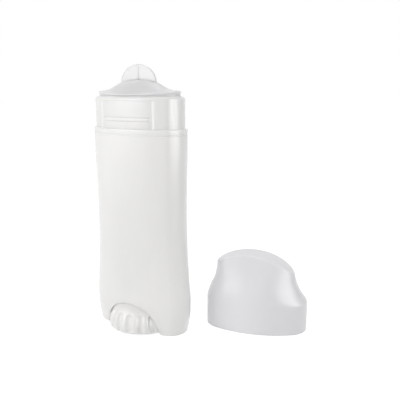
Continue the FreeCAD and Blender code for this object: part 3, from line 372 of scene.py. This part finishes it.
def barrel_rows():
    """Rows of the barrel's section, each a function of a quarter's column."""
    edges = {column: foot_edge(column) for column in QUARTER}
    inner = {column: edge_level(skirt_size, column) for column in QUARTER}
    rows = []

    def at(size, level):
        rows.append(lambda column: oval_point(size, column) + (level,))

    def rounding(column):
        x = edges[column][0][0]
        return blend(ARCH_ROUND, FOOT_ROUND, ease(ROUND_FROM, ROUND_TO, x))

    def skirt_face(column, share):
        """Underside of the skirt's wall, at a share of the way from outside to inside."""
        (x, level), _ = edges[column]
        outer = skin_at(x, level, column)
        inside = oval_point(skirt_size(inner[column]), column) + (inner[column],)
        spot = [blend(a, b, share) for a, b in zip(outer, inside)]
        spot[2] = max(arch_level(spot[0]), room_level(math.hypot(spot[0], spot[1])))
        if column[0] == "turn":
            spot[2] = 0.0
        return tuple(spot)

    def corner(share):
        """Rounded outer edge of the skirt, from its underside (0) to its side (1)."""
        def point(column):
            (x, level), (face_x, face_z) = edges[column]
            radius = rounding(column)
            back = radius * (1 - math.cos(share * math.pi / 2))
            deep = radius * (1 - math.sin(share * math.pi / 2))
            side = skin_at(x - face_x * back if column[0] == "x" else x,
                           max(0.0, level - face_z * back), column)
            inside = oval_point(skirt_size(level), column)
            run = math.hypot(side[0] - inside[0], side[1] - inside[1])
            share_in = deep / max(run, THIN_SKIRT)
            return (blend(side[0], inside[0], share_in) if column[0] == "turn" else side[0],
                    side[1] - (side[1] - inside[1]) * share_in, side[2])
        return point

    for share in (0.0, 0.25, 0.5, 0.75, 1.0):
        rows.append(corner(share))

    def lower_side(share):
        def point(column):
            start = corner(1.0)(column)
            level = blend(start[2], LOWER_SIDE_TOP, share)
            x = blend(start[0], oval_point(skin_size(level), column)[0], ease(0, 0.5, share))
            return skin_at(x, level, column)
        return point

    for share in (0.02, 0.06, 0.12, 0.2, 0.3, 0.4, 0.5, 0.6, 0.7, 0.8, 0.9, 1.0):
        rows.append(lower_side(share))
    for step in range(1, SIDE_ROWS + 1):
        level = LOWER_SIDE_TOP + step * SIDE_STEP
        at(skin_size(level), level)
    # Shallow moulded line under the ledge.
    for level, sunk in ((95.2, 0), (95.5, 0), (95.62, 0.22), (95.72, 0.3), (96.08, 0.3),
                        (96.18, 0.22), (96.3, 0), (96.8, 0), (97.4, 0)):
        at([value - sunk for value in skin_size(level)], level)
    # Ledge with its small round.
    for back, drop in ((0, LEDGE_ROUND), (0.05, 0.17), (0.17, 0.05), (LEDGE_ROUND, 0)):
        at([value - back for value in skin_size(SHOULDER)], SHOULDER - drop)
    at([value + LEDGE_ROUND for value in NECK], SHOULDER)
    neck_row(rows, NECK, SHOULDER)
    for level in (98.8, 99.6, 100.6, 101.5, 101.7, 101.85, 102.0, 102.2, 102.45, 102.7,
                  102.95, 103.2, 103.4, 103.55, 103.7, 103.9, 105.2, 106.8, 108.4, 110.0,
                  110.85, 111.0, 111.15, 111.45):
        neck_row(rows, NECK, level)
    for turn in (15, 30, 45, 60, 75, 90):
        angle = math.radians(turn)
        back, rise = NECK_ROUND * (1 - math.cos(angle)), NECK_ROUND * math.sin(angle)
        at([value - back for value in NECK], 111.45 + rise)
    # Mouth, bore, floor, journal, underside and the inside of the skirt.
    at([value + MOUTH_BREAK for value in BORE], NECK_TOP)
    at(BORE, NECK_TOP - MOUTH_BREAK)
    for level in (112.2, 110.5, 105, 96, 84, 72, 60, 48, 36, 26, 20, FLOOR + FLOOR_BREAK):
        at(BORE, level)
    at([value - 0.15 for value in BORE], FLOOR + 0.12)
    at([value - FLOOR_BREAK for value in BORE], FLOOR)

    def ring(radius, level):
        def point(column):
            x, y = oval_point(BORE, column)
            run = math.hypot(x, y)
            return x * radius / run, y * radius / run, level
        rows.append(point)

    ring(JOURNAL_RING, FLOOR)
    ring(JOURNAL_HOLE, FLOOR)
    ring(JOURNAL_HOLE, UNDER_FLOOR)
    ring(JOURNAL_RING, UNDER_FLOOR)
    for level in (UNDER_FLOOR, 15.0, HOLLOW_TOP):
        at(skirt_size(level), level)

    def inside(share):
        def point(column):
            level = blend(HOLLOW_TOP, inner[column], share)
            return oval_point(skirt_size(level), column) + (level,)
        rows.append(point)

    for share in (0.25, 0.5, 0.75, 1.0):
        inside(share)
    for share in (0.75, 0.5):
        rows.append(lambda column, share=share: skirt_face(column, share))
    return rows


def neck_row(rows, size, level):
    """Row of the neck with its sunk front panel and the snap bead across it."""
    def point(column):
        x, y = oval_point(size, column)
        if column[0] == "x":
            panel = (1 - ease(PANEL_IN, PANEL_OUT, x)) * (1 - ease(PANEL_TOP, PANEL_END, level))
            up = max(0.0, 1 - ((level - BEAD_LEVEL) / BEAD_HALF) ** 2)
            along = max(0.0, 1 - max(0.0, (x - BEAD_REACH) / BEAD_HALF) ** 2)
            y += BEAD_PROUD * math.sqrt(up * along) * panel - PANEL_SUNK * panel
        return x, y, level
    rows.append(point)


def barrel_shell():
    rows = barrel_rows()

    def point(column, row):
        spot, side_x, side_y = LOOP[column]
        x, y, z = rows[row](spot)
        return x * side_x, y * side_y, z

    return wrapped(len(LOOP), len(rows), point, tube=True)


finished(barrel_shell(), "barrel_shell", natural_pp, "barrel", "barrel")


# ---------------------------------------------------------------- cap
# Level, half width to the right and to the left, half depth and end radius.
CAP_STATIONS = [
    (13.0, 25.0, 25.0, 13.1, 10.0), (13.7, 24.97, 25.0, 13.1, 10.0),
    (15.0, 24.6, 24.85, 13.06, 10.0), (17.3, 22.85, 24.15, 12.85, 9.95),
    (19.5, 21.5, 23.35, 12.45, 9.6), (21.7, 20.35, 22.45, 11.85, 9.15),
    (24.0, 19.5, 21.35, 11.05, 8.5), (26.3, 18.9, 20.7, 10.2, 7.9),
    (30.3, 18.05, 20.1, 8.7, 6.7), (34.6, 17.8, 19.95, 7.1, 5.4),
    (39.0, 17.7, 19.85, 5.6, 4.2)]
CAP_BAND, CAP_TOP, CAP_ARCH, CAP_CREST = 13.0, 37.3, 31.0, -3.5
CAP_WALL, CAP_EDGE = 1.1, 0.45
CAP_WIDEST, CAP_DEEPEST = 25.0, 13.1
# The middle line of the roof stops at this share of its reach, so that it closes neatly.
ROOF_RIDGE = 0.8
# The rows of the side start at this share of its height, just under the round of the roof.
SIDE_START, SIDE_STEPS, INNER_STEPS = 0.965, 26, 14
CAP_PLACE, CAP_TURN = (49.6, 27.45), math.radians(16.2)
cap_curves = [spline([row[0] for row in CAP_STATIONS], [row[i] for row in CAP_STATIONS])
              for i in range(1, 5)]


def cap_size(level, side, inset):
    right, left, depth, end = [value(max(level, CAP_BAND)) for value in cap_curves]
    width = min(right if side > 0 else left, CAP_WIDEST)
    return width - inset, min(depth, CAP_DEEPEST) - inset, end - inset


def cap_roof(x, inset):
    """Level of the arched top at a place along the cap."""
    radius = CAP_ARCH - inset
    return CAP_TOP - CAP_ARCH + math.sqrt(radius ** 2 - (x - CAP_CREST) ** 2)


def cap_side(spot, inset, share):
    """Point of the cap's side, at a share of the way from the band to the roof."""
    column, side_x, side_y = spot
    top = CAP_TOP
    for _ in range(8):
        x = oval_point(cap_size(top, side_x, inset), column, False)[0] * side_x
        top = cap_roof(x, inset)
    level = blend(CAP_BAND, top, share)
    x, y = oval_point(cap_size(level, side_x, inset), column, False)
    return x * side_x, y * side_y, level


def cap_shell():
    quarter = [("x", BROAD_END * share) for share in
               (0, 0.09, 0.18, 0.27, 0.36, 0.45, 0.54, 0.63, 0.72, 0.8, 0.88, 0.95)]
    quarter += [("turn", share) for share in
                (1.0, 0.93, 0.86, 0.79, 0.72, 0.65, 0.58, 0.51, 0.44, 0.37, 0.3, 0.23, 0.16,
                 0.09, 0.0)]
    loop = all_round(quarter)
    rows = []

    def roof(inset, share):
        """Row of the arched top: 0 on its middle line, 1 on its edge."""
        def point(spot):
            x, y, _ = cap_side(spot, inset, 1.0)
            x *= blend(ROOF_RIDGE, 1.0, share)
            return x, y * share, cap_roof(x, inset)
        rows.append(point)

    def side(inset, share):
        rows.append(lambda spot: cap_side(spot, inset, share))

    def band(inset, level):
        def point(spot):
            x, y = oval_point(cap_size(CAP_BAND, spot[1], inset), spot[0], False)
            return x * spot[1], y * spot[2], level
        rows.append(point)

    def rounded(share):
        """Crisp round between the roof and the side."""
        def point(spot):
            edge = Vector(cap_side(spot, 0, 1.0))
            low = Vector(cap_side(spot, 0, 1.0 - CAP_EDGE / (edge.z - CAP_BAND)))
            inner = edge.lerp(Vector((edge.x * ROOF_RIDGE, 0, edge.z)),
                              CAP_EDGE / max(4.0, math.hypot(edge.x * 0.2, edge.y)))
            inner.z = cap_roof(inner.x, 0)
            return inner.lerp(edge, share).lerp(edge.lerp(low, share), share)
        rows.append(point)

    for share in (0, 0.2, 0.4, 0.6, 0.8, 0.9):
        roof(0, share)
    for share in (0, 0.25, 0.5, 0.75, 1.0):
        rounded(share)
    for step in range(SIDE_STEPS + 1):
        side(0, SIDE_START - SIDE_START * step / SIDE_STEPS)
    for level in (12.5, 11, 9, 6.5, 4, 2, 0.8, 0.3):
        band(0, level)
    band(0.08, 0.08)
    band(0.3, 0.0)
    band(CAP_WALL - 0.3, 0.0)
    band(CAP_WALL - 0.05, 0.1)
    for level in (0.4, 2, 5, 8, 11, 12.5):
        band(CAP_WALL, level)
    for step in range(INNER_STEPS + 1):
        side(CAP_WALL, step / INNER_STEPS)
    for share in (0.9, 0.6, 0.3, 0):
        roof(CAP_WALL, share)

    def point(column, row):
        x, y, z = rows[row](loop[column])
        return (CAP_PLACE[0] + x * math.cos(CAP_TURN) - y * math.sin(CAP_TURN),
                CAP_PLACE[1] + x * math.sin(CAP_TURN) + y * math.cos(CAP_TURN), z)

    return wrapped(len(loop), len(rows), point)


finished(cap_shell(), "cap_shell", frosted_pp, "cap", "barrel")


# ---------------------------------------------------------------- seal
PLUG = (22.0, 10.1, 7.0)
# Share of the plug's oval, level over the neck, how much lower the front and back are, and
# how far the row is drawn in.
SEAL_OUTSIDE = [
    (0, 7.5, 0, 0), (0.1, 7.5, 0, 0), (0.24, 7.31, 0, 0), (0.36, 6.9, 0, 0),
    (0.45, 6.3, 0, 0), (0.54, 5.325, 0, 0), (0.63, 4.2, 0, 0), (0.7, 3.525, 0, 0),
    (0.8, 2.95, 0.52, 0), (0.9, 2.7, 0.975, 0), (1, 2.55, 1.3, 0.5), (1, 2.4, 1.3, 0.05),
    (1, 2.0, 1.3, -0.12), (1, 1.55, 1.3, 0.1), (1, 1.1, 0.91, 0.3), (1, 0.15, 0, 0.15),
    (1, -0.5, 0, 0.02), (1, -1.3, 0, 0), (1, -2.6, 0, 0), (1, -3.4, 0, 0), (1, -4.0, 0, 0.35)]
SEAL_INSIDE = [
    (1, -4.0, 0, 0.9), (1, -1.8, 0, 0.9), (1, -0.6, 0, 1.6), (1, 0.2, 0, 2.1),
    (0.88, 1.35, 0.78, 0), (0.78, 1.8, 0.39, 0), (0.66, 2.625, 0, 0), (0.58, 3.375, 0, 0),
    (0.49, 4.425, 0, 0), (0.4, 5.325, 0, 0), (0.3, 6.0, 0, 0), (0.1, 6.6, 0, 0),
    (0, 6.6, 0, 0)]
TAB_HALF, TAB_LOW, TAB_HIGH, TAB_THICK = 9.9, 6.1, 14.59, 0.9
RIB_HALF, RIB_PROUD = 0.85, 0.45
# How deep the tab's root reaches into the dome, and where the rib runs out under its top.
TAB_ROOT, RIB_FADE, RIB_END = 0.45, 1.5, 1.0


def smooth_rows(sections, steps=3):
    """Rows of a section with extra rows on a smooth curve between them."""
    run = [0.0]
    for before, after in zip(sections, sections[1:]):
        run.append(run[-1] + math.hypot((after[0] - before[0]) * PLUG[0] - after[3] + before[3],
                                        after[1] - before[1]) + 0.05)
    curves = [spline(run, [row[i] for row in sections]) for i in range(4)]
    rows = []
    for i in range(len(run) - 1):
        for step in range(steps):
            rows.append([curve(blend(run[i], run[i + 1], step / steps)) for curve in curves])
    return rows + [list(sections[-1])]


def dome_level(x):
    """Level of the dome's top face over the neck, at a place along the seal's middle."""
    share = abs(x) / PLUG[0]
    rows = [row for row in SEAL_OUTSIDE if row[0] < 1]
    for (near, high, *_), (far, low, *_) in zip(rows, rows[1:]):
        if near <= share <= far:
            return blend(high, low, (share - near) / (far - near))
    return rows[-1][1]


def seal_shell():
    quarter = [("x", BROAD_END * share) for share in
               (0, 0.11, 0.22, 0.33, 0.44, 0.55, 0.66, 0.77, 0.87, 0.95)]
    quarter += [("turn", share) for share in
                (1.0, 0.91, 0.82, 0.73, 0.64, 0.55, 0.46, 0.37, 0.28, 0.19, 0.1, 0.0)]
    loop = all_round(quarter)
    rows = smooth_rows(SEAL_OUTSIDE) + smooth_rows(SEAL_INSIDE, 2)

    def point(column, row):
        share, high, sag, inset = rows[row]
        spot, side_x, side_y = loop[column]
        width = PLUG[0] * share - inset
        if share < 0.02:
            return 0, 0, NECK_TOP + high
        x, y = oval_point((width, PLUG[1] * share - inset, PLUG[2] * share - inset * 0.8),
                          spot, False)
        level = NECK_TOP + high - sag * (1 - (x / width) ** 2)
        return x * side_x, y * side_y, level

    return wrapped(len(loop), len(rows), point)


def tab_with_rib():
    """Half-round pull tab with rounded edges and a rib up the middle of both faces."""
    across = [math.sin(math.pi / 2 * (i / 20 - 1)) * TAB_HALF for i in range(41)]
    across = sorted([x for x in across if abs(x) > 1.3]
                    + [side * x for side in (-1, 1) for x in (0.25, 0.5, 0.66, 0.78, 0.85, 1.1)]
                    + [0.0])
    up = [i / 16 for i in range(15)] + [0.9, 0.925, 0.94, 0.95, 0.96, 0.97, 0.98]
    faces = [(share, 0.0, 1.0) for share in up]
    edge = [(1.0, 0.28, 0.98), (1.0, 0.13, 0.85), (1.0, 0.03, 0.55), (1.0, 0.0, 0.2)]
    front = faces + edge
    rows = [(a, b, -c) for a, b, c in front] + list(reversed(front))

    def point(column, row):
        share, inset, side = rows[row]
        x = across[column]
        wide, high = TAB_HALF - inset, TAB_HIGH - TAB_LOW - inset
        near = min(1.0, abs(x) / TAB_HALF) * wide * (1 if x > 0 else -1)
        top = TAB_LOW + high * math.sqrt(max(0.0, 1 - (near / wide) ** 2))
        low = dome_level(near) - TAB_ROOT
        level = blend(low, max(top, low), share)
        rib = 1 - ease(0.1, RIB_HALF, abs(x))
        rib *= 1 - ease(TAB_HIGH - RIB_FADE, TAB_HIGH - RIB_END, level)
        deep = TAB_THICK / 2 * abs(side) + (RIB_PROUD * rib if inset == 0 else 0)
        return near, math.copysign(deep, side), NECK_TOP + level

    return bent_grid(len(across) - 1, len(rows) - 1, point)


def joined(first, second):
    """First form with a copy of the second one's faces in it."""
    spare = bpy.data.meshes.new("spare")
    second.to_mesh(spare)
    first.from_mesh(spare)
    second.free()
    bpy.data.meshes.remove(spare)
    return first


finished(joined(seal_shell(), tab_with_rib()), "dome_seal", waxy_ldpe, "top_seal",
         "seal")


# ---------------------------------------------------------------- wheel and spindle
WHEEL_WALL, HUB_RADIUS, HUB_TOP, HUB_LOW = 2.2, 5.0, 15.4, 2.4
FLUTES, FLUTE_RADIUS, FLUTE_DEPTH, FLUTE_RISE = 18, 2.4, 1.0, 31
# Degrees that the ball-shaped end of a flute takes, and how steeply it ends over the band.
FLUTE_END, BAND_SLOPE = 5, 3
HUB_ROUND, WHEEL_ROUND, WHEEL_ROWS, COLUMNS_PER_FLUTE = 0.3, 0.35, 40, 20


def dome_climb(level):
    """Angle up the wheel's dome at a level, from its foot band."""
    return math.asin(min(1.0, max(0.0, (level - DOME_LOW) / WHEEL_DOME)))


def flute_cut(radius, level, angle):
    """How far a flute cuts into the wheel at a point of its skin, square to the skin."""
    pitch = 2 * math.pi / FLUTES
    off = (angle + pitch / 2) % pitch - pitch / 2
    aside = radius * math.sin(off)
    # Ball-shaped run-out at the top, and a short one over the band.
    over = max(0.0, (dome_climb(level) - math.radians(FLUTE_RISE - FLUTE_END)) * WHEEL_DOME)
    under = max(0.0, (DOME_LOW + 0.25 - level) * BAND_SLOPE)
    room = FLUTE_RADIUS ** 2 - aside ** 2 - over ** 2 - under ** 2
    if room <= 0:
        return 0.0
    return max(0.0, math.sqrt(room) - (FLUTE_RADIUS - FLUTE_DEPTH))


def wheel_form():
    """Hollow wheel with its hub, turned from its section, with the flutes pressed in."""
    inner, under = WHEEL_DOME - WHEEL_WALL, WHEEL_TOP - WHEEL_WALL
    section = [(0, HUB_LOW), (HUB_RADIUS - HUB_ROUND, HUB_LOW),
               (HUB_RADIUS, HUB_LOW + HUB_ROUND), (HUB_RADIUS, 6.0), (HUB_RADIUS, under)]
    top = math.asin((under - DOME_LOW) / inner)
    for step in range(13):
        angle = top * (1 - step / 12)
        section.append((WHEEL_MIDDLE + inner * math.cos(angle),
                        DOME_LOW + inner * math.sin(angle)))
    wall = WHEEL_RADIUS - WHEEL_WALL
    section += [(wall, WHEEL_FOOT + 0.2), (wall + 0.2, WHEEL_FOOT)]
    skirt = len(section)
    section += [(WHEEL_RADIUS - back, WHEEL_FOOT + up) for back, up in (
        (WHEEL_ROUND, 0), (0.1, 0.1), (0, WHEEL_ROUND), (0, 0.8), (0, 0.95), (0, 1.05),
        (0, 1.15))]
    top = math.asin((WHEEL_TOP - DOME_LOW) / WHEEL_DOME)
    for step in range(WHEEL_ROWS + 1):
        angle = top * (0.01 + 0.99 * step / WHEEL_ROWS)
        section.append((WHEEL_MIDDLE + WHEEL_DOME * math.cos(angle),
                        DOME_LOW + WHEEL_DOME * math.sin(angle)))
    hub_end = [(HUB_RADIUS, WHEEL_TOP), (HUB_RADIUS, HUB_TOP - HUB_ROUND),
               (HUB_RADIUS - HUB_ROUND, HUB_TOP), (0, HUB_TOP)]
    section += hub_end
    columns = FLUTES * COLUMNS_PER_FLUTE

    def point(column, row):
        radius, level = section[row]
        angle = 2 * math.pi * column / columns
        if skirt <= row < len(section) - len(hub_end):
            cut = flute_cut(radius, level, angle)
            climb = dome_climb(level)
            radius -= cut * math.cos(climb)
            level -= cut * math.sin(climb)
        return radius * math.cos(angle), radius * math.sin(angle), level

    return wrapped(columns, len(section), point)


finished(wheel_form(), "twist_wheel", natural_pp, "knob", "wheel", 50)

LEAD, THREAD_RADIUS, THREAD_DEEP = 3.0, 3.0, 0.55
TANG_HALF, TANG_LOW = 1.78, 6.9
# Radius of the collar, and the levels of its underside and top.
COLLAR = (5.2, 18.15, 19.65)
THREAD_LOW, SPINDLE_TOP = 21.0, 104.8
JOURNAL, COLLAR_BREAK, TANG_ROUND, ROWS_PER_TURN = 3.14, 0.25, 2.5, 8
# The thread fades in over its first stretch and out below the tip, which tapers.
FADE_IN, FADE_OUT, FADE_END, TIP_HIGH, TIP_RADIUS = 1.5, 3.0, 1.2, 0.8, 2.2


def spindle_form():
    """Spindle with a left-hand thread of 3 mm lead, its collar, journal and square end."""
    wide, under, over = COLLAR
    section = [(0, TANG_LOW), (TANG_HALF, TANG_LOW), (TANG_HALF, HUB_TOP), (JOURNAL, HUB_TOP),
               (JOURNAL, under), (wide - COLLAR_BREAK, under), (wide, under + COLLAR_BREAK),
               (wide, over - COLLAR_BREAK), (wide - COLLAR_BREAK, over),
               (THREAD_RADIUS, over), (THREAD_RADIUS, 20.3)]
    first = len(section)
    level = THREAD_LOW
    while level < SPINDLE_TOP - 1.0:
        section.append((THREAD_RADIUS, level))
        level += LEAD / ROWS_PER_TURN
    last = len(section)
    section += [(THREAD_RADIUS - 0.1, SPINDLE_TOP - TIP_HIGH), (TIP_RADIUS, SPINDLE_TOP),
                (0, SPINDLE_TOP)]
    columns = 40

    def point(column, row):
        radius, level = section[row]
        angle = 2 * math.pi * column / columns
        if row < 3 and radius:
            # Square end, fitted in the hub.
            radius = min(TANG_HALF / max(abs(math.cos(angle)), abs(math.sin(angle))),
                         TANG_ROUND)
        if first <= row < last:
            turn = (level / LEAD + angle / (2 * math.pi)) % 1.0
            flank = min(1.0, max(0.0, abs(turn - 0.5) * 4 - 0.5))
            fade = ease(THREAD_LOW, THREAD_LOW + FADE_IN, level)
            fade *= 1 - ease(SPINDLE_TOP - FADE_OUT, SPINDLE_TOP - FADE_END, level)
            radius -= THREAD_DEEP * flank * fade
        return radius * math.cos(angle), radius * math.sin(angle), level

    return wrapped(columns, len(section), point)


finished(spindle_form(), "screw_spindle", natural_pp, "spindle", "wheel", 50)


# ---------------------------------------------------------------- elevator
def smooth_copy(part, name, material, body, angle=32):
    """Merged, smooth-shaded copy of a solid, with crisp edges where faces turn sharply."""
    mesh = bpy.data.objects[part].data.copy()
    mesh.name = name
    form = bmesh.new()
    form.from_mesh(mesh)
    bmesh.ops.remove_doubles(form, verts=form.verts, dist=mm(COPY_MERGE))
    bmesh.ops.dissolve_degenerate(form, dist=mm(COPY_MERGE), edges=form.edges)
    shade_smooth(form, angle)
    stand_in(form, mesh, material, part, body)


smooth_copy("elevator", "stick_elevator", natural_pp, "carrier")


# ---------------------------------------------------------------- stage, light, camera
def lamp(name, place, aim, width, height, power, gloss_only=False):
    """Softbox at a place, aimed at a point, in metres and watts.

    With gloss_only it is a reflector card: it shows in the sheen and lights nothing."""
    data = bpy.data.lights.new(name, "AREA")
    data.shape = "RECTANGLE"
    data.size, data.size_y = width, height
    data.energy = power
    item = bpy.data.objects.new(name, data)
    item.location = place
    item.visible_diffuse = not gloss_only
    item.rotation_euler = (Vector(aim) - Vector(place)).to_track_quat("-Z", "Y").to_euler()
    bpy.context.collection.objects.link(item)


def looked_at(owner):
    """1 for rays from the camera, in gloss or through clear plastic, and 0 for light.

    The owner is a material or the world."""
    ray = node(owner, "ShaderNodeLightPath")
    clear = node(owner, "ShaderNodeMath", operation="MAXIMUM",
                 links={0: (ray, "Is Camera Ray"), 1: (ray, "Is Transmission Ray")})
    return node(owner, "ShaderNodeMath", operation="MAXIMUM",
                links={0: (clear, "Value"), 1: (ray, "Is Glossy Ray")})


# White-lacquered table board: it takes a soft shadow, and looks white out to its far edge.
BOARD_HALF = 3.0
board_paint = new_material("white_lacquered_board")
seen = looked_at(board_paint)
lacquer = node(board_paint, "ShaderNodeBsdfDiffuse", {"Color": srgb("fafafa")})
shade = node(board_paint, "ShaderNodeBsdfDiffuse", {"Color": srgb("9a9a9a")})
glow = node(board_paint, "ShaderNodeEmission", {"Color": (1, 1, 1, 1), "Strength": 0.88})
lit = node(board_paint, "ShaderNodeAddShader", links={0: (shade, "BSDF"), 1: (glow, "Emission")})
board_mix = node(board_paint, "ShaderNodeMixShader",
                 links={"Fac": (seen, "Value"), 1: (lacquer, "BSDF"), 2: (lit, "Shader")})
node(board_paint, "ShaderNodeOutputMaterial", links={"Surface": (board_mix, "Shader")})

form = bmesh.new()
bmesh.ops.create_grid(form, x_segments=1, y_segments=1, size=BOARD_HALF)
board_mesh = bpy.data.meshes.new("floor_board")
form.to_mesh(board_mesh)
form.free()
board_mesh.materials.append(board_paint)
floor_board = bpy.data.objects.new("floor_board", board_mesh)
bpy.context.collection.objects.link(floor_board)

middle = (0.02, 0.01, 0.06)
upper = (0.02, 0.01, 0.1)
lamp("key_softbox", (-0.4, -0.75, 0.34), middle, 0.65, 0.6, 2.6)
lamp("front_softbox", (0.3, -0.8, 0.3), middle, 0.3, 0.6, 0.4)
lamp("far_softbox", (0.75, 0.35, 0.3), middle, 0.3, 0.6, 0.6)
lamp("top_softbox", (0.0, 0.25, 0.85), middle, 0.6, 0.6, 1.5)
# Low cards at the sides, which draw the long soft highlights down the upright walls.
lamp("left_card", (-0.335, -0.372, 0.16), upper, 0.5, 0.32, 0.3, gloss_only=True)
lamp("right_card", (0.5, -0.08, 0.16), upper, 0.48, 0.32, 2.0, gloss_only=True)

# White cove round the set: it fills with plain light, and looks white behind the set.
world = bpy.data.worlds.new("white_cove")
bpy.context.scene.world = world
world.use_nodes = True
world.node_tree.nodes.clear()
seen = looked_at(world)
around = node(world, "ShaderNodeBackground", {"Color": (1, 1, 1, 1), "Strength": 0.505})
backdrop = node(world, "ShaderNodeBackground", {"Color": (1, 1, 1, 1), "Strength": 1.0})
mix = node(world, "ShaderNodeMixShader",
           links={"Fac": (seen, "Value"), 1: (around, "Background"), 2: (backdrop, "Background")})
node(world, "ShaderNodeOutputWorld", links={"Surface": (mix, "Shader")})

# A 48.6 mm lens on a 36 mm frame, from the right and looking a little down.
LOOKS_DOWN, LOOKS_ROUND = 11.74, 30.63
camera_data = bpy.data.cameras.new("camera")
camera_data.sensor_width = 36.0
camera_data.lens = 48.6
camera = bpy.data.objects.new("camera", camera_data)
camera.location = (0.15499, -0.20603, 0.11667)
camera.rotation_euler = (math.radians(90 - LOOKS_DOWN), 0, math.radians(LOOKS_ROUND))
bpy.context.collection.objects.link(camera)
bpy.context.scene.camera = camera
bpy.context.scene.view_settings.view_transform = "Standard"
